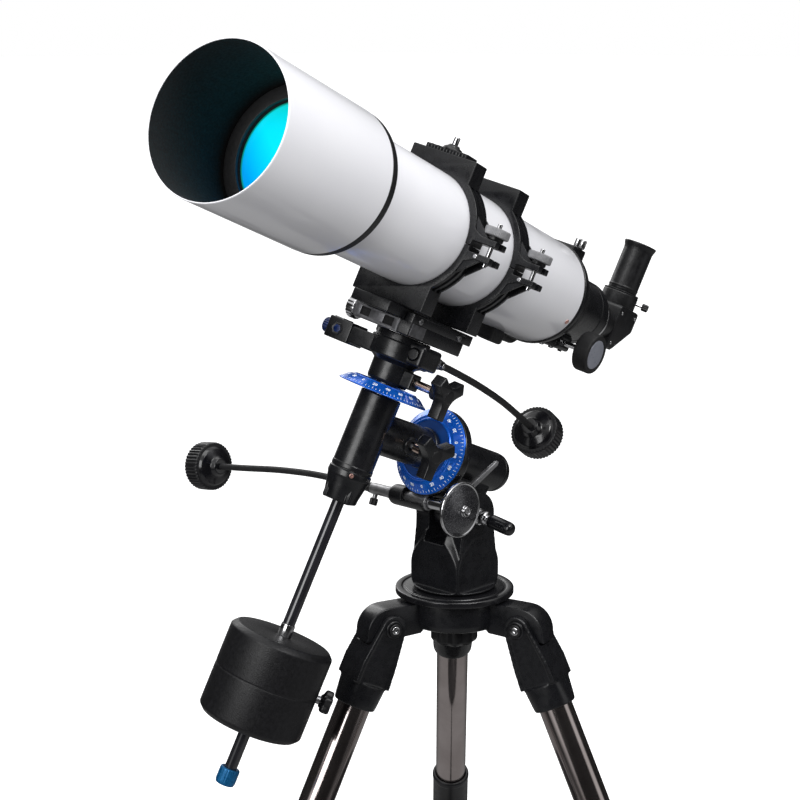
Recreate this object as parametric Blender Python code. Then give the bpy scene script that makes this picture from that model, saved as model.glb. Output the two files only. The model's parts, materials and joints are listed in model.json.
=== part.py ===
"""Refractor telescope on a German equatorial mount and a three-legged tripod.

Blender 4.5, metres, +Z up. +Y is the horizontal direction of the polar axis (north), +X is east.
Every sub-part is one object; empties mark the joint axes and carry what turns about them.
"""
import math

import bmesh
import bpy
from mathutils import Euler, Matrix, Vector

# ---------------------------------------------------------------- driving dimensions
GAP = 0.0003                      # clearance between neighbouring pieces
ORIGIN_SHIFT = (0.0336, -0.0242)  # the vertical axis, from the middle of the whole object's box
HUB_TOP = 0.7613                  # height of the tripod's top face

PIVOT_HEIGHT = 0.078              # latitude pivot above the tripod's top face
LATITUDE = math.radians(22.4)
RA_ABOVE_PIVOT = 0.0488           # polar axis above the latitude pivot
DEC_AHEAD_OF_PIVOT = 0.1528       # declination axis north of the latitude pivot, along the polar axis
HOUR_ANGLE = math.radians(-9.0)
DEC_ANGLE = math.radians(12.8)
TUBE_ABOVE_RA = 0.192             # optical axis above the polar axis, along the declination axis

LEG_AZIMUTHS = {"a": 73.5, "b": 193.5, "c": 313.5}
LEG_SPLAY = math.radians(24.7)
LEG_PIVOT_RADIUS = 0.080
LEG_PIVOT_DROP = 0.029
LEG_LENGTH = 0.802                # leg pivot to the sole of the foot
LEG_TUBE_R = 0.017
BRACE_AT = 0.355                  # brace hinge down the leg from the leg's pivot
BRACE_HINGE_IN = 0.027
TRAY_PIN_RADIUS = 0.040
BRACE_RISE = math.radians(22.0)   # slope of a brace arm with the legs spread

TUBE_R = 0.055
TUBE_WALL = 0.0015
TUBE_STEPS = 36                   # the same on nested round pieces, so that their flats lie parallel
TUBE_REAR = -0.208                # along the tube from the declination axis, front positive
TUBE_FRONT = 0.2447
SHIELD_R = 0.066
SHIELD_REAR = 0.2155
SHIELD_FRONT = 0.374
LENS_R = 0.0511
RING_WIDTH = 0.021
RING_MIDDLES = {"front": 0.0455, "rear": -0.0465}
RING_R = 0.0625
RING_HINGE_X = 0.068
CLAMP_BOLT_X = -0.077
DRAW_R = 0.0262
PINION = (-0.276, -0.039)         # pinion axle, along and above the optical axis
DIAGONAL_AT = -0.400              # eyepiece axis along the tube

RA_WORM_AHEAD = 0.0475            # worm axis north of the latitude pivot, along the polar axis
LEVER_PIN = (0.030, 0.026)        # lock lever pin north of and above the latitude pivot, in the polar axes
DEC_WORM = (-0.026, 0.082)        # worm axis beside the declination axis and above the polar axis
BAR_R = 0.006
FOOT_TURN = math.radians(26.6)    # the square block under the declination housing, about its axis
WEIGHT_TOP = -0.212
WEIGHT_BOTTOM = -0.303
WEIGHT_R = 0.0515
WEIGHT_SCREW_TURN = math.radians(50)   # from west toward south

# Control-cable routes in the axes of the piece that carries them: the latitude frame and the declination frame.
RA_CABLE_ROUTE = [(0.0733, RA_WORM_AHEAD, 0.0), (0.1050, RA_WORM_AHEAD, 0.0), (0.1600, 0.0470, -0.0010),
                  (0.2150, 0.0455, -0.0055), (0.2700, 0.0430, -0.0125), (0.3110, 0.0410, -0.0175)]
DEC_CABLE_ROUTE = [(DEC_WORM[0], -0.0303, DEC_WORM[1]), (DEC_WORM[0], -0.0600, DEC_WORM[1] - 0.0010),
                   (DEC_WORM[0] - 0.0010, -0.1150, DEC_WORM[1] - 0.0045),
                   (DEC_WORM[0] - 0.0030, -0.1700, DEC_WORM[1] - 0.0105),
                   (DEC_WORM[0] - 0.0045, -0.2120, DEC_WORM[1] - 0.0175),
                   (DEC_WORM[0] - 0.0060, -0.2480, DEC_WORM[1] - 0.0245)]
CABLE_R = 0.0035

NORTH = Matrix.Rotation(math.radians(-90), 4, "X")    # lays a shape turned about Z along +Y
EAST = Matrix.Rotation(math.radians(90), 4, "Y")      # lays a shape turned about Z along +X

# ---------------------------------------------------------------- materials
FINISHES = {
    "cast_black": ((0.012, 0.012, 0.014), 0.0, 0.45),
    "plastic_black": ((0.010, 0.010, 0.011), 0.0, 0.55),
    "tube_white": ((0.82, 0.83, 0.86), 0.0, 0.18),
    "anodised_blue": ((0.01, 0.09, 0.55), 0.6, 0.30),
    "steel": ((0.55, 0.53, 0.52), 1.0, 0.22),
    "chrome": ((0.75, 0.75, 0.76), 1.0, 0.12),
    "nickel": ((0.42, 0.42, 0.43), 0.9, 0.38),
    "lens_teal": ((0.02, 0.45, 0.48), 0.1, 0.05),
    "rubber": ((0.015, 0.015, 0.015), 0.0, 0.80),
}


def finish(name):
    """One Principled material for each finish."""
    known = bpy.data.materials.get(name)
    if known:
        return known
    colour, metallic, roughness = FINISHES[name]
    material = bpy.data.materials.new(name)
    material.use_nodes = True
    shader = material.node_tree.nodes["Principled BSDF"]
    shader.inputs["Base Color"].default_value = (*colour, 1.0)
    shader.inputs["Metallic"].default_value = metallic
    shader.inputs["Roughness"].default_value = roughness
    return material


# ---------------------------------------------------------------- shaping tools
def empty_scene():
    for old in list(bpy.data.objects):
        bpy.data.objects.remove(old)


def axis_frame(name, parent=None, at=(0, 0, 0), turn=(0, 0, 0)):
    """An empty on a joint's axis."""
    frame = bpy.data.objects.new(name, None)
    bpy.context.scene.collection.objects.link(frame)
    frame.empty_display_size = 0.03
    frame.parent = parent
    frame.location = at
    frame.rotation_euler = Euler(turn)
    return frame


def solid(bm, place=None):
    """An object from a bmesh, in the local axes of the frame it will hang on."""
    bmesh.ops.recalc_face_normals(bm, faces=bm.faces)
    if place is not None:
        bmesh.ops.transform(bm, matrix=place, verts=bm.verts)
    mesh = bpy.data.meshes.new("shape")
    bm.to_mesh(mesh)
    bm.free()
    shape = bpy.data.objects.new("shape", mesh)
    bpy.context.scene.collection.objects.link(shape)
    return shape


def turned(profile, steps=32, place=None, ring=False):
    """A (radius, height) profile spun about Z. A ring's profile closes on itself."""
    bm = bmesh.new()
    line = [bm.verts.new((radius, 0, height)) for radius, height in profile]
    edges = [bm.edges.new(pair) for pair in zip(line, line[1:])]
    if ring:
        edges.append(bm.edges.new((line[-1], line[0])))
    bmesh.ops.spin(bm, geom=line + edges, axis=(0, 0, 1), cent=(0, 0, 0),
                   angle=2 * math.pi, steps=steps, use_merge=True)
    bmesh.ops.remove_doubles(bm, verts=bm.verts, dist=0.00001)
    return solid(bm, place)


def rod(radius, low, high, steps=24, place=None):
    return turned([(0, high), (radius, high), (radius, low), (0, low)], steps, place)


def pipe(outer, inner, low, high, steps=32, place=None):
    return turned([(inner, high), (outer, high), (outer, low), (inner, low)], steps, place, ring=True)


def block(low, high, bevel=0.0, place=None):
    """A box between two corners, its edges bevelled."""
    bm = bmesh.new()
    bmesh.ops.create_cube(bm, size=1.0)
    size = Vector(high) - Vector(low)
    middle = (Vector(high) + Vector(low)) / 2
    bmesh.ops.transform(bm, matrix=Matrix.Translation(middle) @ Matrix.Diagonal((*size, 1)), verts=bm.verts)
    if bevel:
        bmesh.ops.bevel(bm, geom=bm.edges, offset=bevel, segments=1, affect="EDGES")
    return solid(bm, place)


def slab(outline, low, high, place=None):
    """An outline in the YZ plane, extruded along X."""
    bm = bmesh.new()
    face = bm.faces.new([bm.verts.new((low, y, z)) for y, z in outline])
    new = bmesh.ops.extrude_face_region(bm, geom=[face])["geom"]
    moved = [item for item in new if isinstance(item, bmesh.types.BMVert)]
    bmesh.ops.translate(bm, vec=(high - low, 0, 0), verts=moved)
    return solid(bm, place)


def arc(middle, radius, start, end, steps):
    """Points along an arc, in degrees."""
    angles = [math.radians(start + (end - start) * i / steps) for i in range(steps + 1)]
    return [(middle[0] + radius * math.cos(a), middle[1] + radius * math.sin(a)) for a in angles]


def combine(shape, others, operation):
    """Boolean the other shapes into the first, and drop them."""
    for other in others:
        step = shape.modifiers.new(operation, "BOOLEAN")
        step.operation = operation
        step.object = other
        step.solver = "EXACT"
    bpy.context.view_layer.update()
    evaluated = shape.evaluated_get(bpy.context.evaluated_depsgraph_get())
    mesh = bpy.data.meshes.new_from_object(evaluated)
    shape.modifiers.clear()
    shape.data = mesh
    for other in others:
        bpy.data.objects.remove(other)
    return shape


def joined(shape, *others):
    return combine(shape, others, "UNION")


def without(shape, *others):
    """Cut the others away in one go: they are joined into one tool first."""
    tool = joined(others[0], *others[1:]) if len(others) > 1 else others[0]
    return combine(shape, [tool], "DIFFERENCE")


def name_part(shape, name, frame, material):
    """Name a finished shape, hang it on its frame and give it its finish."""
    shape.name = name
    shape.data.name = name
    shape.parent = frame
    shape.data.materials.clear()
    shape.data.materials.append(finish(material))
    shape.data.shade_smooth()
    shape.data.set_sharp_from_angle(angle=math.radians(35))
    return shape


def along_x(x, y=0.0, z=0.0):
    return Matrix.Translation((x, y, z)) @ EAST


def along_y(x=0.0, y=0.0, z=0.0):
    return Matrix.Translation((x, y, z)) @ NORTH


def cable(name, frame, route, radius):
    """A round cable on a smooth curve through the route's points."""
    curve = bpy.data.curves.new(name, "CURVE")
    curve.dimensions = "3D"
    curve.bevel_depth = radius
    curve.bevel_resolution = 2
    curve.use_fill_caps = True
    points = smooth_points([Vector(p) for p in route], per_span=3)
    spline = curve.splines.new("POLY")
    spline.points.add(len(points) - 1)
    for point, place in zip(spline.points, points):
        point.co = (*place, 1.0)
    shape = bpy.data.objects.new(name, curve)
    bpy.context.scene.collection.objects.link(shape)
    shape.parent = frame
    curve.materials.append(finish("rubber"))
    return shape


def smooth_points(route, per_span):
    """Catmull-Rom points through a route."""
    ends = [2 * route[0] - route[1], *route, 2 * route[-1] - route[-2]]
    points = []
    for i in range(1, len(ends) - 2):
        before, start, stop, after = ends[i - 1:i + 3]
        for j in range(per_span):
            t = j / per_span
            points.append(0.5 * (2 * start + (stop - before) * t
                                 + (2 * before - 5 * start + 4 * stop - after) * t * t
                                 + (3 * start - before - 3 * stop + after) * t ** 3))
    points.append(route[-1])
    return points


def lobed(radius, depth, lobes, low, high, place=None, points=4):
    """A knob whose rim waves between its lobes."""
    count = lobes * points
    bm = bmesh.new()
    rim = []
    for i in range(count):
        angle = 2 * math.pi * i / count
        reach = radius - depth * (0.5 - 0.5 * math.cos(lobes * angle))
        rim.append(bm.verts.new((reach * math.cos(angle), reach * math.sin(angle), low)))
    face = bm.faces.new(rim)
    new = bmesh.ops.extrude_face_region(bm, geom=[face])["geom"]
    moved = [item for item in new if isinstance(item, bmesh.types.BMVert)]
    bmesh.ops.translate(bm, vec=(0, 0, high - low), verts=moved)
    return solid(bm, place)


# ---------------------------------------------------------------- tripod
def tripod_hub(frame):
    """The top casting: a round flange, a body and three arms, with the leg bolts through the arms."""
    shape = turned([(0.0056, 0), (0.0595, 0), (0.0600, -0.0005), (0.0600, -0.0060), (0.0500, -0.0075),
                    (0.0500, -0.0340), (0.0480, -0.0360), (0.0056, -0.0360)], 28, ring=True)
    arm = [(0.040, -0.0085), (0.082, -0.0085), *arc((0.082, -0.0325), 0.024, 75, 0, 3),
           (0.1075, -0.0400), (0.0985, -0.0400), *arc((LEG_PIVOT_RADIUS, -LEG_PIVOT_DROP), 0.0125, -20, -90, 3),
           (0.046, -0.0400), (0.040, -0.0340)]
    pieces = []
    for azimuth in LEG_AZIMUTHS.values():
        outward = Matrix.Rotation(math.radians(azimuth - 90), 4, "Z")
        pivot = along_x(0, LEG_PIVOT_RADIUS, -LEG_PIVOT_DROP)
        pieces.append(slab(arm, -0.0130, 0.0130, outward))
        pieces.append(turned([(0, 0.0233), (0.0065, 0.0233), (0.0065, 0.0203), (0.0040, 0.0203),
                              (0.0040, -0.0203), (0.0065, -0.0203), (0.0065, -0.0233), (0, -0.0233)],
                             10, outward @ pivot))
    joined(shape, *pieces)
    return name_part(shape, "tripod_hub", frame, "cast_black")


def mount_knob(frame):
    """The knob under the hub; its stud screws up into the mount's base."""
    shape = lobed(0.0235, 0.002, 8, -0.0600, -0.0380)
    joined(shape, rod(0.0125, -0.0390, -0.0363, 24), rod(0.0050, -0.0370, 0.0200, 20))
    return name_part(shape, "mount_knob", frame, "plastic_black")


def leg_socket(leg, frame):
    """The black fork and sleeve that carries a leg tube. Local X points outward, -Z down the leg."""
    side = Matrix.Rotation(math.radians(-90), 4, "Z")   # a slab's Y is the leg's outward direction
    cheek = [*arc((0, 0), 0.0135, 0, 180, 8), (-0.0190, -0.034), (-0.0205, -0.060), (0.0205, -0.060),
             (0.0200, -0.040)]
    shape = slab(cheek, -0.0200, 0.0200, side)
    joined(shape, turned([(0, -0.038), (0.0190, -0.038), (0.0212, -0.045), (0.0212, -0.084),
                          (0.0205, -0.085), (0, -0.085)], 16))
    fork = [*arc((0, 0), 0.0290, -50, 230, 10)]
    without(shape,
            slab(fork, -0.0133, 0.0133, side),
            rod(LEG_TUBE_R + 2 * GAP, -0.090, -0.048, 16),
            rod(0.0043, -0.030, 0.030, 12, Matrix.Rotation(math.radians(90), 4, "X")))
    return name_part(shape, f"leg_socket_{leg}", frame, "cast_black")


def leg_tube(leg, frame):
    shape = pipe(LEG_TUBE_R, 0.0152, -0.480, -0.0485, 20)
    return name_part(shape, f"leg_tube_{leg}", frame, "steel")


def brace_collar(leg, frame):
    """The sleeve on a leg tube that holds a brace arm between two lugs at its lower end."""
    shape = pipe(0.0208, LEG_TUBE_R + 2 * GAP, -BRACE_AT - 0.014, -0.286, 20)
    hinge = Matrix.Translation((-BRACE_HINGE_IN, 0, -BRACE_AT)) @ Matrix.Rotation(math.radians(90), 4, "X")
    lugs = [block((-0.0330, y - 0.002, -BRACE_AT - 0.006), (-0.0180, y + 0.002, -BRACE_AT + 0.006))
            for y in (-0.0065, 0.0065)]
    joined(shape, *lugs, rod(0.0014, -0.0075, 0.0075, 8, hinge))
    return name_part(shape, f"brace_collar_{leg}", frame, "plastic_black")


def leg_clamp(leg, frame):
    """The clamp at the foot of the upper tube, with its wing screw on the outside."""
    sleeve = LEG_TUBE_R + 2 * GAP
    shape = turned([(sleeve, -0.455), (0.0208, -0.455), (0.0215, -0.460), (0.0215, -0.512),
                    (0.0195, -0.518), (0.0149, -0.518), (0.0149, -0.4805), (sleeve, -0.4805)], 16, ring=True)
    screw = Matrix.Translation((0, 0, -0.500)) @ EAST
    joined(shape, rod(0.0045, 0.0180, 0.0280, 8, screw), lobed(0.0110, 0.004, 2, 0.0270, 0.0350, screw, 6))
    return name_part(shape, f"leg_clamp_{leg}", frame, "plastic_black")


def lower_leg(leg, frame):
    """The sliding inner tube with its rubber foot."""
    foot = LEG_LENGTH
    shape = turned([(0, -0.300), (0.0144, -0.300), (0.0144, -foot + 0.040), (0.0165, -foot + 0.036),
                    (0.0175, -foot + 0.012), (0.0130, -foot + 0.002), (0, -foot + 0.002)], 20)
    return name_part(shape, f"lower_leg_{leg}", frame, "steel")


def brace_arm(leg, frame):
    """A flat arm from the collar's lugs, hung on its outer hinge, pointing inward along -X."""
    reach = brace_length()
    side = Matrix.Rotation(math.radians(-90), 4, "Z")
    outline = [*arc((0, 0), 0.0050, 90, -90, 6), *arc((-reach, 0), 0.0050, -90, -270, 6)]
    shape = slab(outline, -0.0042, 0.0042, side)
    without(shape, rod(0.0018, -0.02, 0.02, 8, Matrix.Rotation(math.radians(90), 4, "X")))
    return name_part(shape, f"brace_arm_{leg}", frame, "cast_black")


def brace_length():
    """From the collar's hinge to the tray's pin, with the legs spread."""
    run = (LEG_PIVOT_RADIUS + BRACE_AT * math.sin(LEG_SPLAY) - BRACE_HINGE_IN * math.cos(LEG_SPLAY)
           - TRAY_PIN_RADIUS)
    return run / math.cos(BRACE_RISE)


def tray_height():
    """The tray's pin level, below the hub's top face."""
    hinge = -LEG_PIVOT_DROP - BRACE_AT * math.cos(LEG_SPLAY) - BRACE_HINGE_IN * math.sin(LEG_SPLAY)
    return hinge + brace_length() * math.sin(BRACE_RISE)


def accessory_tray(frame):
    """The tray: a rimmed round plate over a boss with three slots for the brace arms."""
    pin = tray_height()
    shape = turned([(0, pin + 0.0160), (0.0820, pin + 0.0160), (0.0830, pin + 0.0220), (0.0850, pin + 0.0220),
                    (0.0850, pin + 0.0130), (0.0460, pin + 0.0125), (0.0460, pin - 0.0120),
                    (0, pin - 0.0120)], 24)
    slots = []
    for azimuth in LEG_AZIMUTHS.values():
        outward = Matrix.Rotation(math.radians(azimuth), 4, "Z")
        slots.append(block((0.0250, -0.0060, pin - 0.0200), (0.0600, 0.0060, pin + 0.0124), 0, outward))
    without(shape, *slots)
    return name_part(shape, "accessory_tray", frame, "cast_black")


# ---------------------------------------------------------------- mount head
def mount_base(frame):
    """The azimuth base: a round foot that waists up into two cheeks round the latitude pivot."""
    shape = turned([(0.0056, 0.030), (0.0400, 0.030), (0.0440, 0.014), (0.0440, 0.0010), (0.0430, GAP),
                    (0.0056, GAP)], 28, ring=True)
    top = PIVOT_HEIGHT
    yoke = [(-0.0290, 0.020), (0.0290, 0.020), (0.0245, 0.040), (0.0225, top - 0.012),
            *arc((0, top), 0.0235, -20, 200, 12), (-0.0225, top - 0.012), (-0.0245, 0.040)]
    joined(shape, slab(yoke, -0.0320, 0.0320))
    without(shape,
            block((-0.0135, -0.04, 0.036), (0.0135, 0.04, 0.12)),
            rod(0.0056, 0.0100, 0.0240, 28),
            rod(0.0053, -0.05, 0.05, 16, along_x(0, 0, top)))
    return name_part(shape, "mount_base", frame, "cast_black")


def latitude_clamp(frame):
    """The pivot bolt with its nut, and the chrome and black lever that tightens it. Turns about X."""
    shape = turned([(0, 0.0380), (0.0085, 0.0380), (0.0085, 0.0323), (0.0050, 0.0323), (0.0050, -0.0323),
                    (0.0095, -0.0323), (0.0095, -0.0420), (0.0070, -0.0450), (0, -0.0450)], 16, EAST)
    lean = Matrix.Rotation(math.radians(-98.5), 4, "Y")
    lever = Matrix.Translation((-0.0380, 0, 0)) @ lean
    joined(shape, turned([(0, 0.000), (0.0045, 0.000), (0.0045, 0.0080), (0.0070, 0.0110), (0.0070, 0.0340),
                          (0.0045, 0.0390), (0, 0.0390)], 14, lever))
    return name_part(shape, "latitude_clamp", frame, "chrome")


def latitude_lever(frame):
    """The thin grey lock lever, pinned in the tongue's west side and cranked upward. Turns about X."""
    west = Matrix.Rotation(math.radians(-90), 4, "Y")
    shape = turned([(0, 0.0400), (0.0030, 0.0400), (0.0030, 0.0200), (0.0050, 0.0200), (0.0050, 0.0131),
                    (0.0028, 0.0131), (0.0028, 0.0090), (0, 0.0090)], 12, west)
    crank = Matrix.Translation((-0.0380, 0, 0)) @ Matrix.Rotation(math.radians(-40), 4, "Y")
    joined(shape, turned([(0, 0.0380), (0.0022, 0.0360), (0.0022, 0.0000), (0, 0.0000)], 10, crank))
    return name_part(shape, "latitude_lever", frame, "nickel")


def ra_housing(frame):
    """The polar housing: barrel, worm-wheel case, worm case below it and the tongue in the yoke."""
    shape = turned([(0, 0.0580), (0.0440, 0.0580), (0.0440, 0.0485), (0.0400, 0.0455), (0.0210, 0.0440),
                    (0.0205, -0.0380), (0.0170, -0.0480), (0.0080, -0.0520), (0, -0.0520)], 24,
                   along_y(0, 0, RA_ABOVE_PIVOT))
    tongue = [*arc((0, 0), 0.0190, 200, 340, 8), (0.0330, 0.0100), (0.0400, 0.0360), (-0.0300, 0.0400)]
    worm_case = turned([(0, 0.0430), (0.0085, 0.0430), (0.0105, 0.0390), (0.0105, -0.0030), (0.0085, -0.0070),
                        (0, -0.0070)], 16, along_x(0, RA_WORM_AHEAD, 0))
    worm_way = turned([(0, 0.0600), (0.0068, 0.0600), (0.0068, 0.0430), (0.0044, 0.0430), (0.0044, -0.0070),
                       (0.0068, -0.0070), (0.0068, -0.0600), (0, -0.0600)], 12, along_x(0, RA_WORM_AHEAD, 0))
    joined(shape, slab(tongue, -0.0128, 0.0128), worm_case)
    without(shape,
            rod(0.0123, -0.0400, 0.0700, 20, along_y(0, 0, RA_ABOVE_PIVOT)),
            worm_way,
            rod(0.0053, -0.02, 0.02, 16, EAST),
            rod(0.0031, -0.0200, -0.0085, 10, along_x(0, *LEVER_PIN)))
    return name_part(shape, "ra_housing", frame, "cast_black")


def setting_circle(name, frame, place, wide_first):
    """A coned blue scale ring, loose round its shaft."""
    wide, narrow, thick = 0.0440, 0.0350, 0.0085
    low, high = (wide, narrow) if wide_first else (narrow, wide)
    shape = turned([(0.0126, thick), (high - 0.001, thick), (high, thick - 0.001), (low, 0.001),
                    (low - 0.001, 0), (0.0126, 0)], 28, place, ring=True)
    return name_part(shape, name, frame, "anodised_blue")


def ra_worm(frame):
    """The polar worm: chrome hand disc on the west, rod, worm shaft and sleeve on the east. Turns about X."""
    shape = turned([(0, 0.0730), (0.0060, 0.0730), (0.0060, 0.0434), (0.0040, 0.0434), (0.0040, -0.0074),
                    (0.0062, -0.0074), (0.0062, -0.0300), (0.0090, -0.0320), (0.0120, -0.0420),
                    (0.0275, -0.0455), (0.0275, -0.0490), (0.0150, -0.0530), (0, -0.0545)], 24, EAST)
    return name_part(shape, "ra_worm", frame, "chrome")


def dec_housing(frame):
    """The declination housing with its polar neck and shaft, and the square block that takes the bar."""
    shape = turned([(0, 0.0350), (0.0195, 0.0350), (0.0200, 0.0345), (0.0200, -0.0540), (0.0212, -0.0545),
                    (0.0212, -0.0585), (0, -0.0585)], 24)
    neck = turned([(0, 0), (0.0200, 0), (0.0200, -0.0840), (0.0120, -0.0840), (0.0120, -0.1900), (0, -0.1900)],
                  24, NORTH)
    foot = block((-0.0135, -0.0135, -0.0730), (0.0135, 0.0135, -0.0580), 0.002,
                 Matrix.Rotation(FOOT_TURN, 4, "Z"))
    boss = rod(0.0070, -0.0230, -0.0100, 12, along_x(0, -0.0420))
    joined(shape, neck, foot, boss)
    without(shape,
            rod(0.0103, -0.0500, 0.0400, 20),
            rod(BAR_R + GAP, -0.0800, -0.0620, 16),
            rod(0.0028, -0.0300, -0.0130, 8, along_x(0, -0.0420)))
    return name_part(shape, "dec_housing", frame, "cast_black")


def lock_knob(name, frame, start, length):
    """A chrome stud with a three-lobed black knob, screwed in along -X from its start."""
    shape = lobed(0.0235, 0.0130, 3, length - 0.012, length, Matrix.Rotation(math.radians(-90), 4, "Y"), 8)
    joined(shape,
           rod(0.0075, length - 0.020, length - 0.006, 12, Matrix.Rotation(math.radians(-90), 4, "Y")),
           rod(0.0024, 0, 0.0135, 8, Matrix.Rotation(math.radians(-90), 4, "Y")),
           rod(0.0040, 0.0125, length - 0.014, 12, Matrix.Rotation(math.radians(-90), 4, "Y")))
    shape.data.transform(Matrix.Translation(start))
    return name_part(shape, name, frame, "plastic_black")


def dec_head(frame):
    """The turning head: shaft, collar, worm case and the clamp arm toward the east."""
    shape = turned([(0, 0.0950), (0.0260, 0.0950), (0.0270, 0.0900), (0.0270, 0.0700), (0.0195, 0.0650),
                    (0.0190, 0.0470), (0.0100, 0.0470), (0.0100, -0.0480), (0, -0.0480)], 24)
    side, high = DEC_WORM
    worm_case = rod(0.0105, -0.0172, 0.0172, 16, along_y(side, 0, high))
    worm_way = turned([(0, 0.0400), (0.0066, 0.0400), (0.0066, 0.0170), (0.0034, 0.0170), (0.0034, -0.0170),
                       (0.0066, -0.0170), (0.0066, -0.0400), (0, -0.0400)], 12, along_y(side, 0, high))
    arm = block((0.0150, -0.0130, 0.0690), (0.0780, 0.0130, 0.0860), 0.002)
    lock_boss = block((-0.0300, -0.0080, 0.0490), (-0.0100, 0.0080, 0.0650), 0.001)
    joined(shape, worm_case, arm, lock_boss)
    without(shape,
            worm_way,
            rod(0.0029, 0.0600, 0.0900, 8, along_x(0, 0, 0.0775)),
            rod(0.0028, -0.0400, -0.0180, 8, along_x(0, 0, 0.0570)))
    return name_part(shape, "dec_head", frame, "cast_black")


def dec_worm(frame):
    """The declination worm: shaft through its case, and the sleeve that takes the cable. Turns about Y."""
    shape = turned([(0, 0.0200), (0.0060, 0.0200), (0.0060, 0.0174), (0.0030, 0.0174), (0.0030, -0.0174),
                    (0.0060, -0.0174), (0.0060, -0.0300), (0, -0.0300)], 16, NORTH)
    return name_part(shape, "dec_worm", frame, "chrome")


def control_knob(name, frame):
    """A fluted black hand knob on the end of a cable. Its axis is local Z, the cable comes from -Z."""
    shape = lobed(0.0270, 0.0012, 12, 0.0120, 0.0330)
    joined(shape, turned([(0, 0.0130), (0.0230, 0.0130), (0.0190, 0.0080), (0.0120, 0.0060), (0.0080, 0.0000),
                          (0, 0.0000)], 20))
    return name_part(shape, name, frame, "plastic_black")


def end_screw(name, frame, start, radius):
    """A stubby round knob screwed in along X, with its stem toward -X."""
    shape = turned([(0, 0.0120), (radius - 0.001, 0.0120), (radius, 0.0110), (radius, 0.0010),
                    (radius - 0.001, 0.0003), (0.0025, 0.0003), (0.0025, -0.0120), (0, -0.0120)], 16,
                   along_x(*start))
    return name_part(shape, name, frame, "plastic_black")


def saddle(frame):
    """The dovetail clamp: plate, two jaws and the screw arm toward the east."""
    shape = block((-0.0310, -0.0550, 0.0954), (0.0310, 0.0480, 0.1086), 0.001)
    joined(shape,
           block((-0.0310, -0.0550, 0.1080), (-0.0218, 0.0480, 0.1165), 0.001),
           block((0.0218, -0.0550, 0.1080), (0.0310, 0.0480, 0.1165), 0.001),
           block((0.0300, -0.0130, 0.0960), (0.0580, 0.0130, 0.1120), 0.002))
    without(shape, rod(0.0029, 0.0440, 0.0700, 8, along_x(0, 0, 0.1040)))
    return name_part(shape, "saddle", frame, "cast_black")


# ---------------------------------------------------------------- counterweight
def weight_bar(frame):
    shape = rod(BAR_R, -0.3565, -0.0625, 16)
    return name_part(shape, "weight_bar", frame, "chrome")


def counterweight(frame):
    """A round weight with rounded rims, bored for the bar and its screw."""
    shape = turned([(BAR_R + GAP, WEIGHT_TOP), (WEIGHT_R - 0.004, WEIGHT_TOP), (WEIGHT_R, WEIGHT_TOP - 0.004),
                    (WEIGHT_R, WEIGHT_BOTTOM + 0.004), (WEIGHT_R - 0.004, WEIGHT_BOTTOM),
                    (BAR_R + GAP, WEIGHT_BOTTOM)], 32, ring=True)
    middle = (WEIGHT_TOP + WEIGHT_BOTTOM) / 2
    bore = Matrix.Rotation(WEIGHT_SCREW_TURN, 4, "Z") @ along_x(0, 0, middle)
    without(shape, rod(0.0043, -0.0650, -0.0160, 12, bore))
    return name_part(shape, "counterweight", frame, "cast_black")


def weight_screw(frame):
    """The thumbscrew in the weight's side."""
    middle = (WEIGHT_TOP + WEIGHT_BOTTOM) / 2
    inward = Matrix.Rotation(WEIGHT_SCREW_TURN, 4, "Z") @ Matrix.Rotation(math.radians(-90), 4, "Y")
    shape = lobed(0.0120, 0.0030, 5, 0.0580, 0.0660, inward)
    joined(shape, rod(0.0040, 0.0170, 0.0590, 12, inward))
    shape.data.transform(Matrix.Translation((0, 0, middle)))
    return name_part(shape, "weight_screw", frame, "plastic_black")


def bar_cap(frame):
    """The blue safety cap screwed over the bar's end."""
    shape = turned([(0, -0.3570), (BAR_R + GAP, -0.3570), (BAR_R + GAP, -0.3475), (0.0086, -0.3475),
                    (0.0098, -0.3490), (0.0098, -0.3630), (0.0086, -0.3645), (0, -0.3645)], 20)
    return name_part(shape, "bar_cap", frame, "anodised_blue")


# ---------------------------------------------------------------- optical tube
def main_tube(frame):
    shape = pipe(TUBE_R, TUBE_R - TUBE_WALL, TUBE_REAR, TUBE_FRONT, TUBE_STEPS, NORTH)
    return name_part(shape, "main_tube", frame, "tube_white")


def dew_shield(frame):
    shape = pipe(SHIELD_R, SHIELD_R - 0.0015, SHIELD_REAR, SHIELD_FRONT, TUBE_STEPS, NORTH)
    return name_part(shape, "dew_shield", frame, "tube_white")


def objective_cell(frame):
    """The lens cell on the tube's front, with the flange that the dew shield butts against."""
    shape = turned([(TUBE_R + GAP, 0.2065), (TUBE_R + GAP, TUBE_FRONT + GAP), (0.0495, TUBE_FRONT + GAP),
                    (0.0495, 0.2560), (LENS_R + GAP, 0.2560), (LENS_R + GAP, 0.2730), (0.0635, 0.2730),
                    (0.0642, 0.2720), (0.0642, 0.2152), (0.0655, 0.2152), (0.0655, 0.2065)],
                   TUBE_STEPS, NORTH, ring=True)
    return name_part(shape, "objective_cell", frame, "plastic_black")


def objective_lens(frame):
    """The achromat: bulged in front, nearly flat behind."""
    front = [(LENS_R * math.sin(math.radians(a)) / math.sin(math.radians(20)),
              0.2663 + 0.0035 * (math.cos(math.radians(a)) - math.cos(math.radians(20))) / 0.0603)
             for a in (0, 7, 14, 20)]
    shape = turned([*front, (LENS_R, 0.2565), (0, 0.2565)], TUBE_STEPS, NORTH)
    return name_part(shape, "objective_lens", frame, "lens_teal")


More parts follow.
